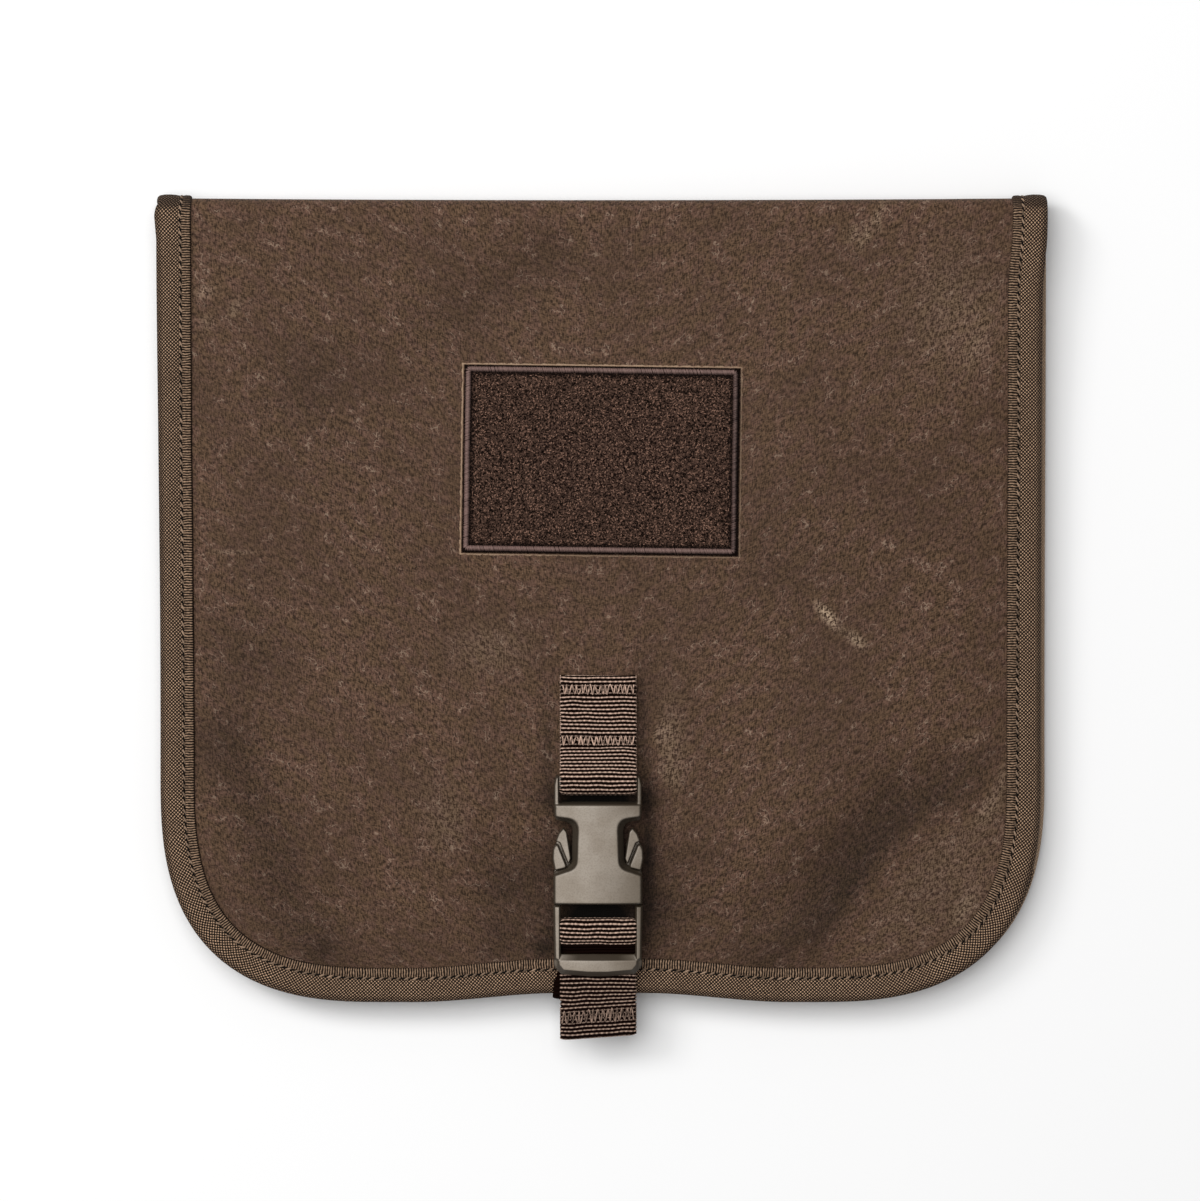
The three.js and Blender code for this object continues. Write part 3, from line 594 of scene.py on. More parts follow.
class Shader:
    """A material and short calls for the nodes that feed its surface."""

    def __init__(self, name, roughness, specular):
        self.material = bpy.data.materials.new(name)
        self.material.use_nodes = True
        self.tree = self.material.node_tree
        self.surface = self.tree.nodes["Principled BSDF"]
        self.set("Roughness", roughness)
        self.set("Specular IOR Level", specular)

    def set(self, socket, value):
        self.feed(self.surface.inputs[socket], value)

    def feed(self, socket, value):
        if isinstance(value, Value):
            self.tree.links.new(value.socket, socket)
        else:
            socket.default_value = value

    def values(self, outputs, kind, inputs, **settings):
        """Some of the outputs of a new node."""
        made = self.tree.nodes.new(kind)
        for key, value in settings.items():
            setattr(made, key, value)
        for key, value in inputs.items():
            self.feed(made.inputs[key], value)
        return [Value(self, made.outputs[output]) for output in outputs]

    def value(self, output, kind, inputs, **settings):
        return self.values([output], kind, inputs, **settings)[0]

    def uv(self):
        return self.value("UV", "ShaderNodeUVMap", {}, uv_map="UVMap")

    def place(self):
        return self.value("Object", "ShaderNodeTexCoord", {})

    def tone(self, name):
        return self.value("Fac", "ShaderNodeAttribute", {}, attribute_name=name)

    def stretched(self, vector, scale):
        return self.value("Vector", "ShaderNodeMapping", {"Vector": vector, "Scale": scale})

    def noise(self, vector, size, detail=2.0):
        """Noise with features of about that many millimetres."""
        inputs = {"Vector": vector, "Scale": 1 / (size * MM), "Detail": detail}
        return self.value("Fac", "ShaderNodeTexNoise", inputs)

    def math(self, operation, a, b=0.0):
        return self.value("Value", "ShaderNodeMath", {0: a, 1: b}, operation=operation)

    def parts(self, vector):
        return self.values("XYZ", "ShaderNodeSeparateXYZ", {"Vector": vector})

    def wave(self, distance, pitch):
        """A sine wave from 0 to 1 along a distance in metres, with a pitch in millimetres."""
        swing = self.math("SINE", distance * (2 * math.pi / (pitch * MM)))
        return (swing + 1.0) * 0.5

    def spread(self, value, low, high):
        """Stretches low to high over 0 to 1."""
        inputs = {"Value": value, "From Min": low, "From Max": high}
        return self.value("Result", "ShaderNodeMapRange", inputs, clamp=True)

    def mix(self, share, a, b):
        return self.value(2, "ShaderNodeMix", {0: share, 6: a, 7: b}, data_type="RGBA")

    def bump(self, height, distance, strength):
        inputs = {"Height": height, "Distance": distance * MM, "Strength": strength}
        self.set("Normal", self.value("Normal", "ShaderNodeBump", inputs))


def canvas_material():
    """Mottled canvas with flecks, lint, stains, and the scuffs, blotches and painted light and shade of its
    shade tone.
    """
    shader = Shader("waxed_canvas", roughness=0.72, specular=0.1)
    flat = shader.uv()
    warp = shader.noise(shader.stretched(flat, (1.0, 0.3, 1.0)), 0.42, 1.0)
    weft = shader.noise(shader.stretched(flat, (0.4, 1.0, 1.0)), 0.42, 1.0)
    fuzz = shader.noise(flat, 1.5, 3.0)
    grain = warp * 0.4 + weft * 0.3 + fuzz * 0.3
    lightness = shader.spread(grain, 0.41, 0.59)
    olive = shader.mix(lightness, srgb(46, 33, 22), srgb(105, 81, 62))
    russet = shader.mix(lightness, srgb(51, 36, 28), srgb(110, 83, 69))
    colour = shader.mix(shader.spread(shader.noise(flat, 5.0, 3.0), 0.42, 0.58), olive, russet)
    flecks = shader.spread(shader.noise(flat, 0.8, 2.0), 0.65, 0.76)
    colour = shader.mix(flecks * 0.5, colour, srgb(158, 133, 112))
    lint = thin_lines(shader, flat) * shader.spread(shader.noise(flat, 5.0, 1.0), 0.56, 0.62)
    colour = shader.mix(lint * 0.55, colour, srgb(160, 137, 117))
    stain = shader.spread(shader.noise(flat, 30.0, 4.0), 0.4, 0.64)
    colour = shader.mix(stain * 0.35, colour, srgb(62, 45, 35))
    # Above 0 the shade tone lightens grains for scuffs and painted highlights; below 0 it darkens towards
    # near black for blotches and for painted shade and shadows
    shade = shader.tone("shade")
    scuffed_and_lit = shader.spread(shade, 0.0, 0.6) * shader.spread(grain, 0.46, 0.55)
    colour = shader.mix(scuffed_and_lit, colour, srgb(186, 162, 136))
    soiled_and_shaded = shader.spread(shade, 0.0, -1.0)
    colour = shader.mix(soiled_and_shaded, colour, srgb(12, 8, 5))
    colour = shader.mix(patch_halo(shader, fuzz), colour, srgb(176, 148, 122))
    shader.set("Base Color", colour)
    shader.bump(grain, 0.45, 0.85)
    return shader.material


def thin_lines(shader, flat):
    """Short curled lines, like lint that clings to the wax."""
    level = abs(shader.noise(flat, 4.0, 2.0) - 0.5)
    return shader.spread(level, 0.016, 0.004)


def patch_halo(shader, fuzz):
    """A pale line of canvas just outside the patch, made strongest at its upper left, towards the light, as a
    painted highlight.
    """
    inputs = {
        "Vector": shader.place(),
        "Location": (PATCH_X * MM, PATCH_Y * MM, 0),
        "Rotation": (0, 0, PATCH_TURN),
    }
    local = shader.value("Vector", "ShaderNodeMapping", inputs, vector_type="TEXTURE")
    x, y, z = shader.parts(local)
    past = shader.math("MAXIMUM", abs(x) - PATCH_WIDTH / 2 * MM, abs(y) - PATCH_HEIGHT / 2 * MM)
    outer = shader.spread(past + fuzz * (1.2 * MM), 1.25 * MM, 1.0 * MM)
    inner = shader.spread(past, 0.05 * MM, 0.2 * MM)
    # Painted highlight: stronger towards the upper left
    lit_side_share = shader.spread(y - x, -30.0 * MM, 10.0 * MM) * 0.45 + 0.55
    on_top = shader.math("GREATER_THAN", z, FLAP_EDGE * MM)
    return outer * inner * lit_side_share * on_top * 0.8


def tape_material():
    """Twill tape with a ribbed strip inside its row of stitches."""
    shader = Shader("woven_tape", roughness=0.8, specular=0.1)
    flat = shader.uv()
    along, across, _ = shader.parts(flat)
    uneven = along + shader.noise(flat, 3.0) * (0.9 * MM)
    twill = shader.wave(uneven + across, TWILL_PITCH) * shader.wave(uneven - across, TWILL_PITCH)
    ribs = shader.wave(uneven, TAPE_RIB_PITCH) * 0.38
    inner_strip = shader.tone("inner_strip")
    outer_strip = shader.math("SUBTRACT", 1.0, inner_strip)
    height = twill * outer_strip + ribs * inner_strip + shader.noise(flat, 0.9, 2.0) * 0.5
    colour = shader.mix(shader.spread(height, 0.39, 0.88), srgb(14, 7, 4), srgb(214, 177, 145))
    patches = shader.spread(shader.noise(flat, 9.0, 3.0), 0.35, 0.7)
    colour = shader.mix(patches * 0.25, colour, srgb(62, 46, 36))
    # Painted shade above 0, painted highlight below 0
    painted_shading = shader.tone("painted_shading")
    colour = shader.mix(painted_shading, colour, srgb(28, 18, 13))
    colour = shader.mix(shader.spread(painted_shading, 0.0, -1.0), colour, srgb(214, 184, 156))
    shader.set("Base Color", colour)
    shader.bump(height, 0.4, 0.9)
    return shader.material


def thread_material(name, dark, light, roughness, specular, mottle):
    """Thread, yarn or pile, shaded from dark to light by its tone, which in some pieces holds painted light
    and shade, and by fine mottling.
    """
    shader = Shader(name, roughness, specular)
    fuzz = shader.noise(shader.place(), 0.5, 2.0)
    tone = shader.tone("tone") + (fuzz - 0.5) * mottle
    shader.set("Base Color", shader.mix(shader.spread(tone, 0.0, 1.0), dark, light))
    shader.bump(fuzz, 0.15, 0.6)
    return shader.material


def buckle_material():
    """Satin plastic with specks of grime, painted darker on its steep sides and towards its right, away from
    the light.
    """
    shader = Shader("moulded_plastic", roughness=0.42, specular=0.35)
    place = shader.place()
    cloud = shader.noise(place, 7.0, 3.0)
    speckle = shader.noise(place, 0.5, 2.0)
    colour = shader.mix(shader.spread(cloud, 0.35, 0.65), srgb(144, 132, 118), srgb(158, 147, 134))
    grime = shader.spread(speckle, 0.45, 0.7) * 0.3
    colour = shader.mix(grime, colour, srgb(96, 86, 72))
    x, y, _ = shader.parts(place)
    # Painted shade: darker towards the right, more so away from the waist
    off_waist = shader.spread(abs(y - WAIST_Y * MM), 6.0 * MM, 12.0 * MM)
    shade_away_from_light = shader.spread(x, -5.0 * MM, 14.0 * MM) * (off_waist * 0.45 + 0.25)
    colour = shader.mix(shade_away_from_light, colour, srgb(84, 73, 59))
    # Painted shade on the steep sides, by how far they turn from facing up
    facing = shader.parts(shader.value("Normal", "ShaderNodeNewGeometry", {}))[2]
    sides = shader.spread(facing, 0.95, 0.74) * 0.92
    shader.set("Base Color", shader.mix(sides, colour, srgb(44, 35, 24)))
    shader.bump(speckle, 0.05, 0.5)
    return shader.material


# Canvas


def scuffs_and_painted_shading(x, y):
    """How light (above 0) or dark (below 0) the flap is left by its scuffs and blotches and by the painted
    light and shade of its table.
    """
    shade = np.zeros_like(x)
    for at_x, at_y, length, width, turn, strength in SCUFFS_AND_PAINTED_SHADING:
        cos = math.cos(math.radians(turn))
        sin = math.sin(math.radians(turn))
        along = ((x - at_x) * cos + (y - at_y) * sin) / (length / 2)
        across = ((y - at_y) * cos - (x - at_x) * sin) / (width / 2)
        shade = shade + strength * np.exp(-(along**2) - across**2)
    return shade


def stations_across(layer, y, shares):
    """Places across a wall at shares of its half width, -1 at its left edge and 1 at its right."""
    return np.where(shares < 0, -shares * edge_x(-1, y, layer), shares * edge_x(1, y, layer))


def sheet_rows(layer, rises, shares):
    """Stations of a wall: rows at heights above its bottom edge, columns at shares of its half width."""
    y = (bottom_edge(layer) + rises)[:, None]
    x = stations_across(layer, y, shares)
    pull_share = 1 - smoothstep(rises, 0, CORNER_RADIUS)[:, None]
    return x, y + strap_pull(x) * pull_share


def rises_to(top_rise, corner_steps, straight_steps):
    """Heights above the bottom edge, even round the corner and then even along the side."""
    corner = CANVAS_CORNER * (1 - np.cos(np.linspace(0, math.pi / 2, corner_steps)))
    return np.concatenate([corner, np.linspace(CANVAS_CORNER, top_rise, straight_steps)[1:]])


def rows_to_fold(layer, steps, shares):
    """Stations of the back or the flap, with a last row where the fold begins."""
    last_rise = FOLD_START_Y - bottom_edge("flap") - SHORT_OF_FOLD
    x, y = sheet_rows(layer, rises_to(last_rise, *steps), shares)
    end_x = stations_across(layer, np.array([FOLD_START_Y]), shares)
    return np.vstack([x, end_x]), np.vstack([y, fold_y(end_x)])


def canvas_piece(name, points, shade, material, node):
    """A wall of canvas round a grid of points, with its scuffs and its painted light and shade as a shade
    tone per point.
    """
    uv = np.stack([points[..., 0], lengths_along(points)], -1)
    faces = grid_faces(*points.shape[:2]).tolist()
    piece = mesh_piece(name, points, faces, material, "canvas", [node], uv, shade=shade)
    thicken(piece, CANVAS)
    return piece


def make_shell(material):
    """One length of canvas: up the back, over the fold and down the flap."""
    shares = np.linspace(-1, 1, SHELL_COLUMNS)
    back_x, back_y = rows_to_fold("body", BACK_STEPS, shares)
    flap_x, flap_y = rows_to_fold("flap", FLAP_STEPS, shares)
    back = on_back(back_x, back_y)[0]
    flap = on_flap(flap_x, flap_y)[0]
    angles = np.linspace(-math.pi / 2, math.pi / 2, SHELL_FOLD_STEPS)[1:-1, None]
    fold_x = np.broadcast_to(back_x[-1], (angles.size, shares.size))
    fold = on_fold(fold_x, np.broadcast_to(angles, fold_x.shape))[0]
    points = np.concatenate([back, fold, flap[::-1]])
    on_top = np.arange(len(points))[:, None] >= len(back) + len(fold) // 2
    x, y, _ = np.moveaxis(points, -1, 0)
    # Scuffs and blotches, painted light and shade from the table, and painted shade in the crease valleys
    scuffs_and_shading = scuffs_and_painted_shading(x, y) - CREASE_PAINTED_SHADE * crease_valleys(x, y)
    piece = canvas_piece("canvas_shell", points, np.where(on_top, scuffs_and_shading, 0.0), material, "shell")


def make_pouch_panel(material):
    rises = rises_to(MOUTH_Y - bottom_edge("body"), *POUCH_STEPS)
    x, y = sheet_rows("body", rises, np.linspace(-1, 1, POUCH_COLUMNS))
    points = np.stack([x, y, pouch_height(x, y)], -1)
    piece = canvas_piece("canvas_pouch", points, np.zeros_like(x), material, "pouch_panel")


# Binding tape and its stitches

# The tape's outer face: how far in from the canvas edge, and how far above the middle of the canvas
TAPE_FACE = [
    (9.9, 0.85), (9.8, 1.5), (9.5, 1.8), (9.1, 1.92), (8.0, 2.02), (7.2, 1.85), (6.6, 1.62),
    (6.0, 1.85), (5.0, 2.1), (3.2, 2.3), (1.2, 2.28), (-0.4, 1.95), (-1.1, 1.3), (-1.3, 0.4),
]
TAPE_EDGE = 9.9
TAPE_LINING_EDGE = 9.7
TAPE_LINING = HALF_CANVAS + 0.05
TAPE_WANDER = 0.12
TAPE_WANDER_SIZE = 13.0
TWILL_PITCH = 1.12
TAPE_RIB_PITCH = 0.82
STITCH_INSET = 6.6
STITCH_LIFT = 1.8
STITCH_PITCH = 2.72
STITCH_LENGTH = 2.0
STITCH_SLANT = 0.5
STITCH_RADIUS = 0.34
STITCH_SINK = 0.5
STITCH_POINTS = 6
HOLE_LENGTH = 1.7
HOLE_RADIUS = 0.25
HOLE_RISE = 0.1
HOLE_SHADE_TONE = -0.4

# How the tape bunches towards the fold: place, share of its height, and shift in at the left
TAPE_SWELL_Y = [108.0, 121.0, 124.0, 127.0, 130.3, 131.8, 133.3]
TAPE_SWELL = [1.0, 1.0, 1.05, 1.08, 1.0, 0.86, 0.86]
TAPE_SHIFT = [0.0, 0.0, -0.3, -0.75, -0.45, 0.4, 0.0]

# How far past the pouch's mouth the tape narrows from two walls to the back alone
PAST_MOUTH_START = 1.2
PAST_MOUTH_END = 6.0

# How dark the tape is along its inner edge, stitches, rim, left side and the caps at the fold: painted shade
# along the inner edge, the row of stitches, the rim and the caps, and a darker band along the left side; the
# back's low rim is painted lighter as a highlight.
INNER_EDGE_SHADE = 0.35
LEFT_INNER_EDGE_SHADE = 0.95
STITCH_ROW_SHADE = 0.4
RIM_SHADE = 0.45
LEFT_SIDE_DARKENING = 0.14
LEFT_SIDE_Y = 40.0
LEFT_SIDE_REACH = 70.0
LEFT_FROM_X = -110.0
LEFT_TO_X = -60.0
CAP_SHADE = 0.7
CAP_FROM_Y = 130.8
CAP_TO_Y = 131.8
LOW_RIM_LIGHT = -0.4
LOW_RIM_Z = 7.6


def edge_line(layer):
    """The free edge of a wall: down its left side, along its bottom and up its right side."""
    rises = rises_to(FOLD_START_Y - bottom_edge(layer) - SHORT_OF_FOLD, *EDGE_STEPS)
    y = bottom_edge(layer) + rises
    top_y = fold_y(np.array([HALF_WIDTH - TAPE_REACH]))
    side_y = np.concatenate([y, top_y])
    left = np.stack([edge_x(-1, side_y, layer), side_y], -1)
    right = np.stack([edge_x(1, side_y, layer), side_y], -1)
    x = np.linspace(left[0, 0], right[0, 0], BOTTOM_STEPS)[1:-1]
    bottom = np.stack([x, np.full_like(x, y[0]) + strap_pull(x)], -1)
    return np.concatenate([left[::-1], bottom, right])


def left_of(line):
    """Directions square to a flat line, to the left of its run."""
    along = unit(np.gradient(line, axis=0))
    return np.stack([-along[:, 1], along[:, 0]], -1)


def round_the_edge(inset, height, body_height):
    """A line once round the bag, inset from the canvas edge, from the middle of the back's bottom."""

    def swell(points):
        share = np.interp(points[:, 1], TAPE_SWELL_Y, TAPE_SWELL)
        return share if height > HALF_CANVAS + TAPE / 2 else np.ones_like(share)

    def shift_at(y):
        outer_share = 1 - max(inset, 0) / TAPE_EDGE
        return outer_share * np.interp(y, TAPE_SWELL_Y, TAPE_SHIFT)

    lines = []
    flap = edge_line("flap")
    back = edge_line("body")
    angles = np.linspace(-math.pi / 2, math.pi / 2, TAPE_FOLD_STEPS)[1:-1]
    for line, place, extra in ((flap, on_flap, 0), (back, on_back, body_height)):
        shift = shift_at(line[:, 1]) * (line[:, 0] < 0)
        at = line + left_of(line) * (inset + shift)[:, None]
        at[:, 1] = np.minimum(at[:, 1], fold_y(at[:, 0]))
        points, normals = place(at[:, 0], at[:, 1])
        taken = 1 - smoothstep(line[:, 1], MOUTH_Y + PAST_MOUTH_START, MOUTH_Y + PAST_MOUTH_END)
        lift = height * swell(points) + extra * taken
        lines.append((points + normals * lift[:, None], normals))
    folds = []
    for side in (-1, 1):
        x = np.full_like(angles, side * (HALF_WIDTH - TAPE_REACH - inset))
        shift = shift_at(on_fold(x, angles)[0][:, 1]) * (side < 0)
        points, normals = on_fold(x - side * shift, angles)
        folds.append((points + normals * (height * swell(points))[:, None], normals))
    ordered = [lines[0], tuple(a[::-1] for a in folds[1]), tuple(a[::-1] for a in lines[1]), folds[0]]
    start = len(flap) + len(angles) + len(back) // 2
    return tuple(np.roll(np.concatenate([part[k] for part in ordered]), -start, axis=0) for k in (0, 1))


def tape_shading_marks(points, insets, heights):
    """How much painted shade (above 0) or painted highlight (below 0) each point of the tape takes; the band
    along the left side is only made darker.
    """
    x, y, z = np.moveaxis(points, -1, 0)
    at_left = 1 - smoothstep(x, LEFT_FROM_X, LEFT_TO_X)
    inner_edge = (insets > TAPE_EDGE - 0.3) * lerp(INNER_EDGE_SHADE, LEFT_INNER_EDGE_SHADE, at_left)
    rim = STITCH_ROW_SHADE * (np.abs(insets - STITCH_INSET) < 0.1) + RIM_SHADE * (insets < -0.2)
    along_left = at_left * np.exp(-(((y - LEFT_SIDE_Y) / LEFT_SIDE_REACH) ** 2))
    left_side = LEFT_SIDE_DARKENING * along_left * (insets <= STITCH_INSET)
    cap = CAP_SHADE * smoothstep(y, CAP_FROM_Y, CAP_TO_Y)
    low_rim = (insets < 0.6) & (heights < -0.3) & (z < LOW_RIM_Z) & (x > 0)
    return np.where(low_rim, LOW_RIM_LIGHT, np.maximum(rim + inner_edge + left_side, cap))


def make_binding(material):
    """Tape folded over the canvas edge, drawn as a closed profile carried once round the bag."""
    under_face = [(inset, -height) for inset, height in reversed(TAPE_FACE)]
    lining = [(TAPE_LINING_EDGE, -TAPE_LINING), (-GAP, -TAPE_LINING)]
    lining += [(inset, -height) for inset, height in reversed(lining)]
    profile = TAPE_FACE + under_face + lining
    rings = []
    for inset, height in profile:
        takes_in_pouch = -POUCH_ON_BACK if height < 0 else 0.0
        rings.append(round_the_edge(inset, height, takes_in_pouch)[0])
    points = np.stack(rings, 1)
    insets, heights = np.array(profile).T
    stitch_row = int(np.argmax(insets == STITCH_INSET))
    length = lengths_along(points[:, stitch_row : stitch_row + 1])
    wander = soft_noise(length[:, 0], 0 * length[:, 0], TAPE_WANDER_SIZE, 31)[:, None]
    outer_rows = np.maximum(insets, 0) / TAPE_EDGE
    normals = round_the_edge(STITCH_INSET, 0, 0)[1]
    points = points + normals[:, None, :] * (TAPE_WANDER * wander * outer_rows)[..., None]
    across = distance_along(points[0])
    uv = np.stack(np.broadcast_arrays(length, across), -1)
    inner_strip = np.broadcast_to(insets > STITCH_INSET + 0.3, points.shape[:2]).astype(float)
    tones = {"inner_strip": inner_strip, "painted_shading": tape_shading_marks(points, insets, heights)}
    faces = grid_faces(*points.shape[:2], closed_rows=True, closed_columns=True).tolist()
    return mesh_piece("edge_tape", points, faces, material, "tape", ["binding"], uv, **tones)


def make_stitches(material):
    """Slanted stitches along the tape, with a dark piece between each two as the painted shade of a needle
    hole.
    """
    points, normals = round_the_edge(STITCH_INSET, STITCH_LIFT, 0)
    loop = np.concatenate([points, points[:1]])
    loop_normals = np.concatenate([normals, normals[:1]])
    distance = distance_along(loop)
    count = int(distance[-1] / STITCH_PITCH)
    pitch = distance[-1] / count
    share = np.linspace(-1, 1, STITCH_POINTS)

    def threads(first, length, radius, slant, sink):
        at = (np.arange(count)[:, None] + first) * pitch + share * length / 2
        centre = line_at(at, distance, loop)
        normal = unit(line_at(at, distance, loop_normals))
        sideways = np.cross(normal, unit(np.gradient(centre, axis=1)))
        lines = centre + sideways * (slant * share)[:, None] - normal * (sink * share**4)[:, None]
        return tubes(lines, radius * (1 - 0.35 * share**4), THREAD_SIDES, normal)

    stitches = threads(0.5, STITCH_LENGTH, STITCH_RADIUS, STITCH_SLANT, STITCH_SINK)
    hole_shades = threads(1.0, HOLE_LENGTH, HOLE_RADIUS, STITCH_SLANT / 2, -HOLE_RISE)
    draws = np.random.default_rng(41).uniform(0.3, 0.95, (count, 1))
    # Each stitch is painted darker at its ends, where it sinks into the tape, as shade
    light = per_ring(draws - 0.3 * share**4, THREAD_SIDES)
    tone = np.concatenate([light, np.full_like(light, HOLE_SHADE_TONE)])
    points, faces = joined([stitches, hole_shades])
    return mesh_piece("edge_stitches", points, faces, material, "tape", tone=tone)


# Patch


def on_patch(u, v):
    cos = math.cos(PATCH_TURN)
    sin = math.sin(PATCH_TURN)
    return on_flap(PATCH_X + u * cos - v * sin, PATCH_Y + u * sin + v * cos)


def make_patch_field(material):
    half_width = PATCH_WIDTH / 2 - RIDGE_SET_IN / 2
    half_height = PATCH_HEIGHT / 2 - RIDGE_SET_IN / 2
    u, v = np.meshgrid(np.linspace(-half_width, half_width, 70), np.linspace(half_height, -half_height, 48))
    points, normals = on_patch(u, v)
    points = points + normals * (HALF_CANVAS + PATCH_FIELD / 2)
    from_edge = np.minimum(half_width - np.abs(u), half_height - np.abs(v))
    # The backing darkens beside the ridge as painted shade in its groove
    field = smoothstep(from_edge, RIDGE_WIDTH, RIDGE_WIDTH + 2 * GROOVE_WIDTH)
    tone = lerp(GROOVE_SHADE_TONE, BACKING_TONE, field)
    backing = mesh_piece("patch_backing", points, grid_faces(*u.shape).tolist(), material, "pile", tone=tone)
    thicken(backing, PATCH_FIELD)
    return backing


def make_pile(material):
    """Short curled yarns that cover the field of the patch."""
    draw = np.random.default_rng(52)
    ridge_reach = RIDGE_SET_IN + RIDGE_WIDTH + GROOVE_WIDTH + PILE_RADIUS
    half_width = PATCH_WIDTH / 2 - ridge_reach
    half_height = PATCH_HEIGHT / 2 - ridge_reach
    first_heading = draw.uniform(0, 2 * math.pi, (PILE_COUNT, 1))
    heading = first_heading + np.cumsum(draw.normal(0, PILE_CURL, (PILE_COUNT, PILE_POINTS)), 1)
    start_u = draw.uniform(-half_width, half_width, (PILE_COUNT, 1))
    start_v = draw.uniform(-half_height, half_height, (PILE_COUNT, 1))
    u = np.clip(start_u + np.cumsum(np.cos(heading) * PILE_STEP, 1), -half_width, half_width)
    v = np.clip(start_v + np.cumsum(np.sin(heading) * PILE_STEP, 1), -half_height, half_height)
    points, normals = on_patch(u, v)
    share = np.linspace(-1, 1, PILE_POINTS)
    lift = HALF_CANVAS + PATCH_FIELD + draw.uniform(-0.1, 0.35, (PILE_COUNT, 1)) - 0.3 * share**2
    lines = points + normals * lift[..., None]
    yarn, faces = tubes(lines, PILE_RADIUS * (1 - 0.5 * share**4), PILE_SIDES, normals)
    tone = per_ring(draw.uniform(-0.5, 1.3, (PILE_COUNT, 1)) - 0.2 * share**2, PILE_SIDES)
    return mesh_piece("patch_pile", yarn, faces, material, "pile", ["patch_field"], tone=tone)


def patch_loop(inset, pitch):
    """Points evenly round the patch at a distance in from its edge, with their outward directions."""
    radius = PATCH_CORNER
    half_u = PATCH_WIDTH / 2 - inset - radius
    half_v = PATCH_HEIGHT / 2 - inset - radius
    corners = [(half_u, half_v), (-half_u, half_v), (-half_u, -half_v), (half_u, -half_v)]
    line = []
    for quarter, (u, v) in enumerate(corners):
        for angle in np.linspace(quarter, quarter + 1, 10) * math.pi / 2:
            line.append((u + radius * math.cos(angle), v + radius * math.sin(angle)))
    line = np.array([*line, line[0]])
    distance = distance_along(line)
    count = int(distance[-1] / pitch)
    even = line_at(np.arange(count) * distance[-1] / count, distance, line)
    along = unit(np.roll(even, -1, 0) - np.roll(even, 1, 0))
    return even, np.stack([along[:, 1], -along[:, 0]], -1)


def make_patch_border(material):
    """Satin thread laid side by side over the patch's rim, painted lighter on its crest and where it faces
    the light, and darker on its right side.
    """
    draw = np.random.default_rng(53)
    middle, outward = patch_loop(RIDGE_SET_IN + RIDGE_WIDTH / 2, SATIN_PITCH)
    count = len(middle)
    angle = np.linspace(0, math.pi, 9)
    reach = (RIDGE_WIDTH / 2 - SATIN_RADIUS) * np.cos(angle)
    rise = (RIDGE_HEIGHT - SATIN_RADIUS) * np.sin(angle)
    slant = SATIN_SLANT * np.cos(angle) + draw.normal(0, SATIN_SLANT_SPREAD, (count, 1))
    along = np.stack([-outward[:, 1], outward[:, 0]], -1)
    plan = middle[:, None] + outward[:, None] * reach[:, None] + along[:, None] * slant[..., None]
    points, normals = on_patch(plan[..., 0], plan[..., 1])
    waver = soft_noise(np.arange(count) * SATIN_PITCH, np.zeros(count), SATIN_WAVER_SIZE, 54)[:, None]
    lift = HALF_CANVAS + SATIN_LIFT + rise + SATIN_WAVER * waver
    lines = points + normals * lift[..., None]
    along_edge = np.concatenate([along, np.zeros((count, 1))], -1)[:, None, :]
    threads, faces = tubes(lines, SATIN_RADIUS, THREAD_SIDES, np.broadcast_to(along_edge, lines.shape))
    # Painted light and shade: lighter on the crest and towards the light, darker on the right border
    to_light = (outward[:, 1:] - outward[:, :1]) / math.sqrt(2)
    shading = SATIN_SHADING * (to_light * np.cos(angle) - np.maximum(outward[:, :1], 0))
    tone = draw.uniform(0.3, 0.6, (count, 1)) + 0.7 * np.sin(angle) ** 2 - 0.3 + shading
    nodes = ["patch_border"]
    tone = per_ring(tone, THREAD_SIDES)
    return mesh_piece("patch_border_threads", threads, faces, material, "satin_thread", nodes, tone=tone)


# Straps


def arc(centre, radius, start, end):
    steps = max(4, int(abs(end - start) / 8))
    angle = np.radians(np.linspace(start, end, steps))
    return np.asarray(centre) + radius * np.stack([np.cos(angle), np.sin(angle)], -1)


def from_buckle(y, z):
    """Places given in the buckle's frame, as (y, z) of the bag."""
    tilt = math.radians(BUCKLE_TILT)
    turned_y = y * math.cos(tilt) - z * math.sin(tilt)
    turned_z = y * math.sin(tilt) + z * math.cos(tilt)
    return np.array([BUCKLE_Y + turned_y, BUCKLE_Z + turned_z])


def buckle_arc(y, z, radius, start, end):
    return arc(from_buckle(y, z), radius, start + BUCKLE_TILT, end + BUCKLE_TILT)


def even_path(parts):
    """Points at even steps along the joined parts, a few to a rib, with their corners eased."""
    path = np.vstack([np.atleast_2d(part) for part in parts])
    keep = np.r_[True, np.linalg.norm(np.diff(path, axis=0), axis=1) > 1e-6]
    path = path[keep]
    distance = distance_along(path)
    even = line_at(np.arange(0, distance[-1], RIB_PITCH / RIB_ROWS), distance, path)
    ease = 9
    window = np.hanning(ease + 2)[1:-1]
    window = window / window.sum()
    padded = np.vstack([np.repeat(even[:1], ease // 2, 0), even, np.repeat(even[-1:], ease // 2, 0)])
    eased = np.stack([np.convolve(padded[:, k], window, "valid") for k in (0, 1)], -1)
    eased[0] = even[0]
    eased[-1] = even[-1]
    return eased


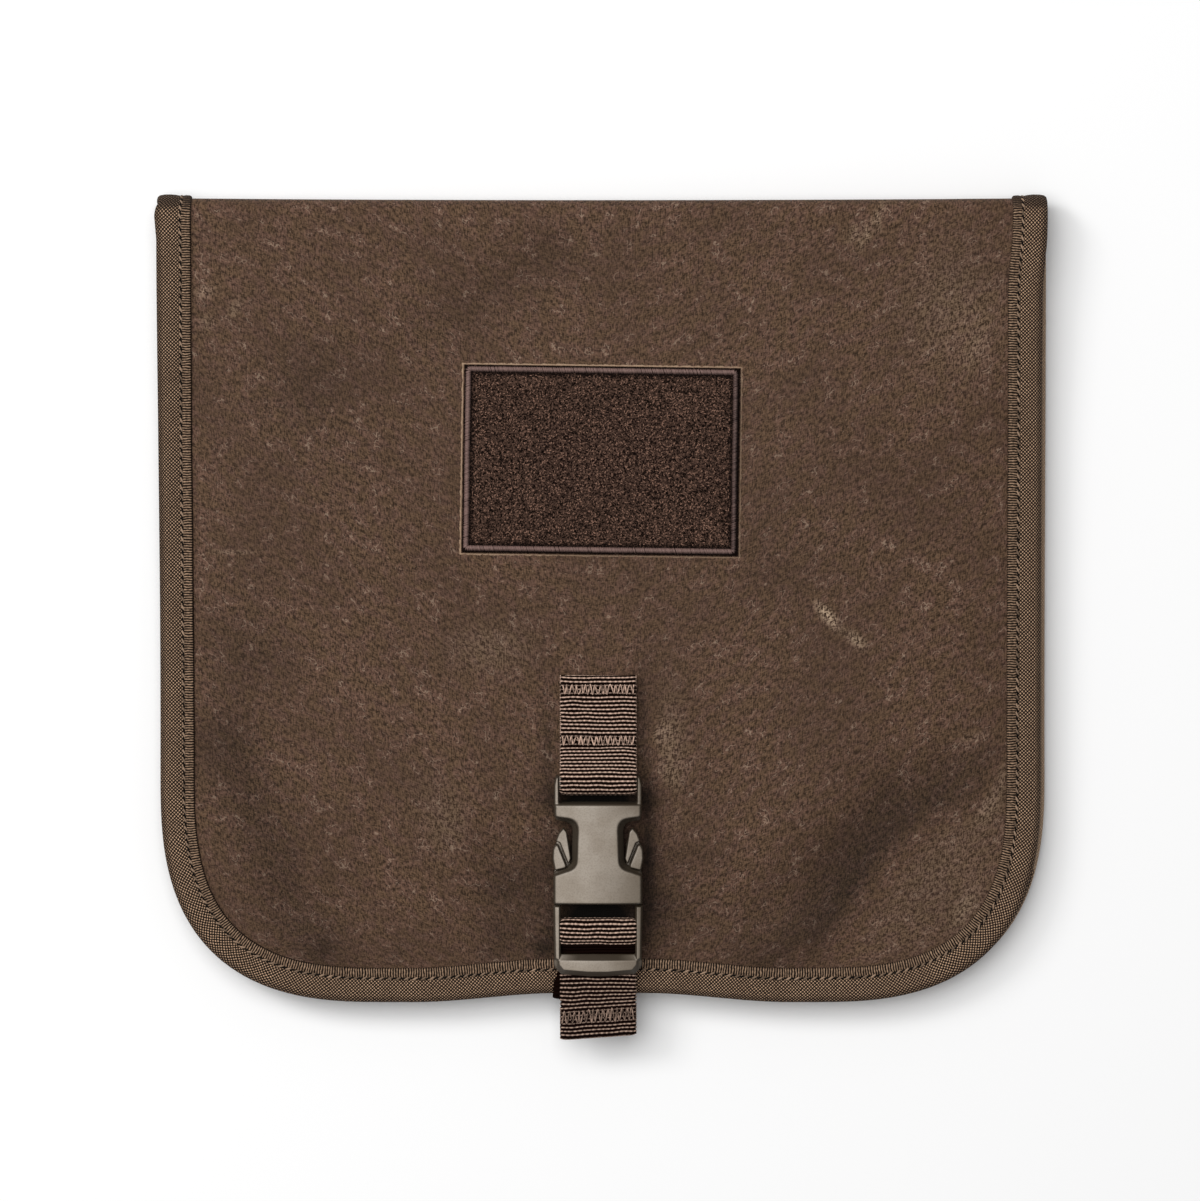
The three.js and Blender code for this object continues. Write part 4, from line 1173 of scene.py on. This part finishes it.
def upper_strap_path():
    """Sewn to the flap, down round the buckle's top bar and back up over itself."""

    def on_flap_top(y, layer):
        lift = HALF_CANVAS + GAP + HALF_WEBBING + layer * (WEBBING + GAP)
        return np.array([y, float(flap_height(np.array(STRAP_X), np.array(y))) + lift])

    middle_y = (UPPER_STRAP_TOP_Y + UPPER_STRAP_SEWN_Y) / 2
    wrap = TOP_BAR_RADIUS + BAR_CLEARANCE
    return even_path(
        [
            on_flap_top(UPPER_STRAP_TOP_Y, 0),
            on_flap_top(middle_y, 0),
            on_flap_top(UPPER_STRAP_SEWN_Y, 0),
            from_buckle(TOP_BAR_FAR, TOP_BAR_Z - wrap),
            buckle_arc(TOP_BAR_NEAR, TOP_BAR_Z, wrap, 270, 90),
            buckle_arc(TOP_BAR_FAR, TOP_BAR_Z, wrap, 90, STRAP_FALL),
            on_flap_top(UPPER_STRAP_SEWN_Y, 1),
            on_flap_top(middle_y, 1),
            on_flap_top(UPPER_STRAP_TOP_Y, 1),
        ]
    )


def lower_strap_path():
    """From the back panel round the bottom edge, through the adjuster and out again as a free tail."""
    low = HALF_WEBBING + FLOOR_CLEARANCE
    wrap = MIDDLE_BAR_RADIUS + BAR_CLEARANCE
    apart_y = TAIL_TURN_Y - MIDDLE_BAR_FAR
    apart_z = TAIL_TURN_Z - MIDDLE_BAR_Z
    opening = math.acos((wrap + TAIL_TURN_RADIUS) / math.hypot(apart_y, apart_z))
    leave = math.degrees(math.atan2(apart_z, apart_y) - opening)
    fold_start = 90 + TAIL_DROOP
    end_fold = arc(TAIL_END, HALF_WEBBING + GAP / 2, fold_start, fold_start + 180)
    droop = math.radians(TAIL_DROOP)
    return even_path(
        [
            (LOWER_STRAP_SEWN_Y, low),
            arc((EDGE_TURN_Y, low + EDGE_TURN_RADIUS), EDGE_TURN_RADIUS, -90, -180),
            arc((EDGE_TURN_Y, EDGE_TURN_TOP_Z), EDGE_TURN_RADIUS, 180, 90),
            from_buckle((MALE_BOTTOM_Y + END_BAR_Y) / 2, low),
            from_buckle(END_BAR_Y, low),
            buckle_arc(MIDDLE_BAR_NEAR, MIDDLE_BAR_Z, wrap, -90, 90),
            buckle_arc(MIDDLE_BAR_FAR, MIDDLE_BAR_Z, wrap, 90, leave),
            buckle_arc(TAIL_TURN_Y, TAIL_TURN_Z, TAIL_TURN_RADIUS, leave + 180, 270),
            from_buckle(MALE_BOTTOM_Y, TAIL_TURN_Z - TAIL_TURN_RADIUS),
            (EDGE_TURN_Y, TAIL_OVER_EDGE_Z),
            TAIL_BEND,
            end_fold,
            end_fold[-1] + TAIL_FOLD * np.array([math.cos(droop), math.sin(droop)]),
        ]
    )


def make_strap(name, path, middle_x, skew, lightness, material, node):
    """Webbing with a beaded rib at each pick of its weave, slanted by skew and darkened below lightness 1;
    its tone follows the rib's height, painted dark in the gaps and light on the crests.
    """
    normal = left_of(path)
    phase = np.arange(len(path)) / RIB_ROWS
    rib = np.abs(np.cos(math.pi * phase))[:, None] ** RIB_SHARPNESS
    row = np.floor(phase + 0.5)[:, None]
    share = np.linspace(-1, 1, WEBBING_COLUMNS)
    edge_round = (1 - 0.75 * np.abs(share) ** 14)[None, :]
    across = (WEBBING_WIDTH / 2 + RIB_OVERHANG * (rib - 0.6)) * share
    bead_turn = across / BEAD_PITCH + BEAD_SHIFT * row
    bead = np.cos(2 * math.pi * bead_turn + 1.3 * soft_noise(across, row, 2.3, 61))
    body = rib * (1 - BEAD_DEPTH + BEAD_DEPTH * bead)
    half = HALF_WEBBING * edge_round * (0.45 + 0.7 * body)
    sway = RIB_SWAY * soft_noise(across, row * 1.3, 4.0, 63)

    def face(outward):
        y = path[:, :1] + outward * normal[:, :1] * half + normal[:, 1:] * sway
        z = path[:, 1:] + outward * normal[:, 1:] * half - normal[:, :1] * sway
        return np.stack([middle_x[:, None] + across, y + skew[:, None] * across, z], -1)

    points, faces = close_rings(np.concatenate([face(1), face(-1)[:, ::-1]], 1))
    lit = lightness[:, None]
    # Painted shade in the gaps between ribs and painted highlight on their crests
    tone = (np.concatenate([body, body[:, ::-1]], 1) * 2.6 - 1.6) * lit - 0.4 * (1 - lit)
    return mesh_piece(name, points, faces, material, "webbing", [node], tone=tone)


def run_of(path, start_and_end, first_row):
    """The rows of a strap, from first_row on, where its face between two places can be seen."""
    start_y, end_y = start_and_end
    rows = np.arange(len(path))
    return rows[(rows > first_row) & (path[:, 0] <= start_y) & (path[:, 0] >= end_y)]


def zigzag(path, rows, skew):
    """Sewn zigzag across the upper face of a run of a strap."""
    normal = left_of(path)[rows]
    top = path[rows] + normal * np.sign(normal[:, 1:]) * (HALF_WEBBING + TACK_LIFT)
    half_width = WEBBING_WIDTH / 2 - TACK_INSET
    legs = np.linspace(0, 2 * TACK_COUNT, 2 * TACK_COUNT * TACK_POINTS + 1)
    run_seed = np.full_like(legs, rows[0])
    reach = 0.85 + 0.15 * soft_noise(legs, run_seed, 1.1, 64)
    at = (0.5 + (smoothstep(np.abs(legs % 2 - 1), 0.0, 1.0) - 0.5) * reach) * (len(rows) - 1)
    steps = np.arange(len(rows))
    across = np.linspace(-half_width, half_width, len(legs)) + 0.4 * soft_noise(legs, run_seed, 1.3, 65)
    y = np.interp(at, steps, top[:, 0]) + np.interp(at, steps, skew[rows]) * across
    return np.stack([STRAP_X + across, y, np.interp(at, steps, top[:, 1])], -1)


def make_straps(material):
    """Both straps and the tacks that sew them, which lie on three runs of their faces."""
    upper = upper_strap_path()
    lower = lower_strap_path()
    at_upper_bar = int(np.argmin(upper[:, 0]))
    third = len(lower) // 3
    at_middle_bar = third + int(np.argmax(lower[third:, 0]))
    at_tail_fold = int(np.argmin(lower[:, 0]))
    on_tail = np.arange(len(lower)) > at_middle_bar
    along = lower[:, 0]
    shift = smoothstep(-along, -LOAD_SHIFT_FROM_Y, -LOAD_SHIFT_TO_Y)
    shift = np.where(lower[:, 1] < EDGE_TURN_RADIUS, 1.0, shift)
    upper_x = np.full(len(upper), STRAP_X)
    lower_x = np.where(on_tail, STRAP_X, lerp(STRAP_X, LOAD_X, shift))
    upper_skew = np.zeros(len(upper))
    tail_skew = TAIL_SKEW * smoothstep(-along, -EDGE_TURN_Y - 3, -TAIL_BEND[0])
    lower_skew = np.where(on_tail, tail_skew, 0.0)
    runs = [(upper, run_of(upper, place, at_upper_bar), upper_skew) for place in UPPER_TACKS]
    tail_run = run_of(lower[:at_tail_fold], TAIL_TACKS, at_middle_bar)
    upper_light = np.ones(len(upper))
    for _, rows, _ in runs:
        upper_light[rows] = TACKED_LIGHTNESS
    runs.append((lower, tail_run, lower_skew))
    past_bar = from_buckle(MIDDLE_BAR_FAR - ADJUSTER_PAST_BAR, 0)[0]
    lower_light = np.where(on_tail & (along < past_bar), SHADED_ADJUSTER_LIGHTNESS, 1.0)
    lower_light = np.where(on_tail & (along < EDGE_TURN_Y + TAIL_BEFORE_EDGE), TAIL_LIGHTNESS, lower_light)
    lower_light = np.where(~on_tail & (along < LOAD_SHIFT_FROM_Y), SHADED_BEHIND_LIGHTNESS, lower_light)
    lower_light[tail_run] = TACKED_LIGHTNESS
    straps = [
        make_strap("strap_upper", upper, upper_x, upper_skew, upper_light, material, "upper_strap"),
        make_strap("strap_lower", lower, lower_x, lower_skew, lower_light, material, "lower_strap"),
    ]
    lines = np.stack([zigzag(*run) for run in runs])
    points, faces = tubes(lines, TACK_RADIUS, THREAD_SIDES, np.array([0.0, 0.0, 1.0]))
    run_tones = np.array([[1.0], [1.0], [0.6]])
    tone = np.random.default_rng(62).uniform(0.1, 0.8, lines.shape[:2]) * run_tones
    tone = per_ring(tone, THREAD_SIDES)
    return *straps, mesh_piece("strap_tacks", points, faces, material, "webbing", tone=tone)


# Buckle


def rounded(corners):
    """An outline through corners (x, y, radius), each eased by a curve."""
    points = []
    count = len(corners)
    for k, (x, y, radius) in enumerate(corners):
        here = np.array([x, y])
        before = np.array(corners[k - 1][:2]) - here
        after = np.array(corners[(k + 1) % count][:2]) - here
        before_length = np.linalg.norm(before)
        after_length = np.linalg.norm(after)
        turn = math.acos(np.clip(before @ after / (before_length * after_length), -1, 1))
        cut = min(radius / math.tan(turn / 2), 0.48 * before_length, 0.48 * after_length)
        start = here + before / before_length * cut
        end = here + after / after_length * cut
        for t in np.linspace(0, 1, 7):
            points.append((1 - t) ** 2 * start + 2 * t * (1 - t) * here + t**2 * end)
    return np.array(points)


def flipped(corners):
    return [(-x, y, radius) for x, y, radius in corners]


def mirrored(right_half):
    return [*right_half, *reversed(flipped(right_half))]


def box_outline(x0, x1, y0, y1, radius):
    return [(x0, y0, radius), (x1, y0, radius), (x1, y1, radius), (x0, y1, radius)]


def drawn_in(corners, inset):
    """Corners moved in from the sides of their outline, with their radii kept true to it."""
    table = np.array(corners, float)
    spots = table[:, :2]
    following = np.roll(spots, -1, 0)
    after = unit(following - spots)
    before = np.roll(after, 1, 0)
    turn = before[:, 0] * after[:, 1] - before[:, 1] * after[:, 0]
    way_round = np.sign(np.sum(spots[:, 0] * following[:, 1] - spots[:, 1] * following[:, 0]))
    normal_sum = way_round * np.stack([before[:, 1] + after[:, 1], -before[:, 0] - after[:, 0]], -1)
    mitre = normal_sum / (1 + np.sum(before * after, -1))[:, None]
    eased = np.maximum(table[:, 2] - inset * np.sign(turn * way_round), 0.1)
    return np.column_stack([spots - mitre * inset, eased]).tolist()


def plate(corners, levels):
    """A closed plate: an outline drawn in by an inset at each of its heights."""
    rings = []
    for z, inset in levels:
        plan = rounded(drawn_in(corners, inset))
        rings.append(np.column_stack([plan, np.full(len(plan), z)]))
    return close_rings(rings)


def plate_pair(corners, levels):
    """A plate at the right and its mirror image at the left."""
    return [plate(corners, levels), plate(flipped(corners), levels)]


def block_outline(x0, x1, y0, y1):
    return box_outline(x0, x1, y0, y1, 0.25)


def block(x0, x1, y0, y1, z0, z1):
    return plate(block_outline(x0, x1, y0, y1), [(z0, 0), (z1, 0)])


def block_pair(x0, x1, y0, y1, z0, z1):
    return plate_pair(block_outline(x0, x1, y0, y1), [(z0, 0), (z1, 0)])


def cross_bar(y0, y1, z, radius):
    """A rounded bar across the buckle, round two centres along it."""
    section = rounded(box_outline(y0 - radius, y1 + radius, z - radius, z + radius, radius - 0.1))
    ends = (-BAR_HALF_LENGTH, BAR_HALF_LENGTH)
    return close_rings([np.column_stack([np.full(len(section), x), section]) for x in ends])


def socket_solids():
    top = [(14.25, -9.9, 0.9), (14.25, -0.3, 1.1), (7.1, 2.1, 3.4)]
    top += [(6.6, 17.2, 4.4), (14.0, 18.1, 1.2), (14.0, 22.5, 0.7)]
    skirt = [(14.1, -9.6, 1.6), (14.1, 0.5, 1.6), (8.5, 2.9, 2.6)]
    skirt += [(8.0, 16.0, 3.4), (13.8, 16.9, 1.6), (13.8, 22.2, 1.6)]
    rail = [(12.35, 20.0, 0.2), (14.0, 20.0, 0.2), (14.0, 28.6, 0.6), (13.4, 31.2, 0.5), (12.5, 31.0, 0.4)]
    return [
        plate(mirrored(top), [(6.8, 0.0), (7.7, 0.1), (8.3, 0.35), (8.6, 0.8)]),
        plate(mirrored(skirt), [(3.6, 0.0), (4.4, 0.05), (8.2, 1.95)]),
        plate(mirrored(skirt), [(0.0, 0.6), (0.6, 0.0), (1.8, 0.0)]),
        block(-14.0, 14.0, 18.5, 22.5, 1.0, 7.2),
        cross_bar(TOP_BAR_NEAR, TOP_BAR_FAR, TOP_BAR_Z, TOP_BAR_RADIUS),
        *plate_pair(rail, [(0.3, 0.3), (0.7, 0), (6.9, 0), (7.8, 0.35)]),
        *block_pair(12.7, 14.2, -9.9, -0.5, 1.0, 7.2),
        *block_pair(5.0, 6.4, 1.4, 18.5, 1.0, 7.2),
    ]


def prong_solids():
    end_bar = [(3.0, -33.4, 8.0), (11.8, -32.7, 2.2), (14.1, -30.0, 2.2), (14.1, -26.2, 2.1)]
    frame_rail = [(11.9, -10.3, 0.5), (14.3, -10.3, 0.7), (14.0, -27.6, 0.6), (11.9, -28.6, 0.3)]
    arm = [(8.6, 4.8, 0.4), (9.9, 13.2, 0.6), (11.0, 14.7, 0.5), (12.6, 12.7, 0.4)]
    arm += [(13.5, 10.3, 0.3), (12.2, 9.8, 0.3), (9.4, 2.6, 0.3)]
    grip = [(13.7, 9.3, 0.4), (14.4, 7.6, 0.5), (14.5, 4.6, 0.6), (13.8, 0.9, 0.4)]
    grip += [(10.4, 1.7, 0.3), (10.0, 2.4, 0.2), (12.7, 9.0, 0.3)]
    core = [(8.7, -9.0, 0.2), (12.1, -9.0, 0.2), (12.1, 0.4, 0.4), (14.2, 2.2, 0.4)]
    core += [(14.2, 7.2, 0.4), (11.4, 14.2, 0.5), (8.9, 9.3, 0.5)]
    return [
        plate(mirrored(end_bar), [(3.6, 0.2), (3.9, 0.0), (4.5, 0.0), (6.9, 1.9)]),
        cross_bar(MIDDLE_BAR_FAR, MIDDLE_BAR_NEAR, MIDDLE_BAR_Z, MIDDLE_BAR_RADIUS),
        block(-12.6, 12.6, -10.4, -9.4, 2.2, 3.4),
        block(-12.0, 12.0, -9.8, -6.6, 2.3, 6.3),
        block(-3.9, 3.9, -9.6, 12.0, 2.4, 6.2),
        *plate_pair(frame_rail, [(2.0, 0.5), (2.5, 0.0), (5.4, 0.0), (6.7, 0.45), (7.0, 0.65)]),
        *plate_pair(arm, [(2.4, 0.1), (6.0, 0.0), (6.7, 0.35)]),
        *plate_pair(grip, [(2.4, 0.1), (6.4, 0.0), (7.2, 0.4)]),
        *plate_pair(core, [(2.0, 0.4), (2.4, 0.0), (3.0, 0.0)]),
    ]


def crown_over(piece):
    """Fixes the piece's modifiers in its mesh and rounds its top down towards both sides."""
    fixed = piece.evaluated_get(bpy.context.evaluated_depsgraph_get())
    mesh = bpy.data.meshes.new_from_object(fixed)
    places = np.zeros(len(mesh.vertices) * 3, np.float32)
    mesh.vertices.foreach_get("co", places)
    places = places.reshape(-1, 3)
    x, y, z = places.T / MM - np.array([[BUCKLE_X], [BUCKLE_Y], [BUCKLE_Z]])
    tilt = math.radians(BUCKLE_TILT)
    height = z * math.cos(tilt) - y * math.sin(tilt)
    fall = (x / BUCKLE_HALF_WIDTH) ** 2 * smoothstep(height, CROWN_FROM_Z, CROWN_TO_Z)
    places[:, 2] -= MM * CROWN * fall
    mesh.vertices.foreach_set("co", places.ravel())
    piece.modifiers.clear()
    piece.data = mesh


def make_moulding(name, solids, material, node):
    """Joins solids into one moulded body with eased edges, set in place on the strap."""
    local, faces = joined(solids)
    y, z = from_buckle(local[:, 1], local[:, 2])
    points = np.column_stack([local[:, 0] + BUCKLE_X, y, z])
    piece = mesh_piece(name, points, faces, material, "buckle", [node])
    join = piece.modifiers.new("join", "REMESH")
    join.mode = "VOXEL"
    join.voxel_size = VOXEL * MM
    join.use_smooth_shade = True
    crown_over(piece)
    ease = piece.modifiers.new("ease", "SMOOTH")
    ease.factor = 0.5
    ease.iterations = EASING_ROUNDS
    thin = piece.modifiers.new("thin", "DECIMATE")
    thin.ratio = TRIANGLES_KEPT


# Stage


def make_floor():
    shader = Shader("studio_floor", roughness=0.9, specular=0.1)
    shader.set("Base Color", (0.94, 0.94, 0.94, 1.0))
    half = FLOOR_HALF_WIDTH * MM
    corners = [(-half, -half, 0), (half, -half, 0), (half, half, 0), (-half, half, 0)]
    mesh = bpy.data.meshes.new("floor")
    mesh.from_pydata(corners, [], [(0, 1, 2, 3)])
    mesh.materials.append(shader.material)
    floor = add_object("floor", mesh)
    floor.location.z = -FLOOR_DROP * MM


def make_light(name, place, width, depth, power):
    """An area light that shines on the bag from a place."""
    light = bpy.data.lights.new(name, "AREA")
    light.shape = "ELLIPSE"
    light.size = width * MM
    light.size_y = depth * MM
    light.energy = power
    holder = add_object(name, light)
    holder.location = np.array(place) * MM
    holder.rotation_euler = (-Vector(place)).to_track_quat("-Z", "Y").to_euler()


def make_world(strength):
    world = bpy.data.worlds.new("studio")
    world.use_nodes = True
    background = world.node_tree.nodes["Background"]
    background.inputs["Color"].default_value = (1.0, 1.0, 1.0, 1.0)
    background.inputs["Strength"].default_value = strength
    bpy.context.scene.world = world


def make_camera():
    camera = bpy.data.cameras.new("camera")
    camera.lens = CAMERA_LENS
    camera.sensor_width = SENSOR_WIDTH
    camera.sensor_fit = "HORIZONTAL"
    camera.clip_end = CAMERA_REACH * MM
    holder = add_object("camera", camera)
    holder.location = (CAMERA_X * MM, CAMERA_Y * MM, CAMERA_HEIGHT * MM)
    bpy.context.scene.camera = holder


canvas = canvas_material()
tape = tape_material()
stitch_thread = thread_material("stitch_thread", srgb(8, 5, 3), srgb(160, 134, 112), 0.7, 0.1, 0.5)
pile = thread_material("patch_pile_yarn", srgb(16, 8, 6), srgb(140, 108, 92), 0.9, 0.05, 1.2)
satin = thread_material("satin_thread", srgb(26, 16, 15), srgb(124, 99, 92), 0.5, 0.25, 0.5)
webbing = thread_material("webbing_yarn", srgb(14, 4, 2), srgb(236, 200, 178), 0.7, 0.02, 0.6)
plastic = buckle_material()

make_shell(canvas)
make_pouch_panel(canvas)
edge_tape = make_binding(tape)
edge_stitches = make_stitches(stitch_thread)
backing = make_patch_field(pile)
patch_trim = [make_pile(pile), make_patch_border(satin)]
strap_upper, strap_lower, strap_tacks = make_straps(webbing)
make_moulding("buckle_socket", socket_solids(), plastic, "buckle_female")
make_moulding("buckle_prongs", prong_solids(), plastic, "buckle_male")

make_floor()
make_world(WORLD_STRENGTH)
make_light("key", (-600.0, 600.0, 2400.0), width=2600.0, depth=2800.0, power=56.0)
make_light("side", (-1600.0, 1000.0, 1600.0), width=800.0, depth=800.0, power=15.0)
make_camera()
bpy.context.scene.view_settings.view_transform = "Standard"
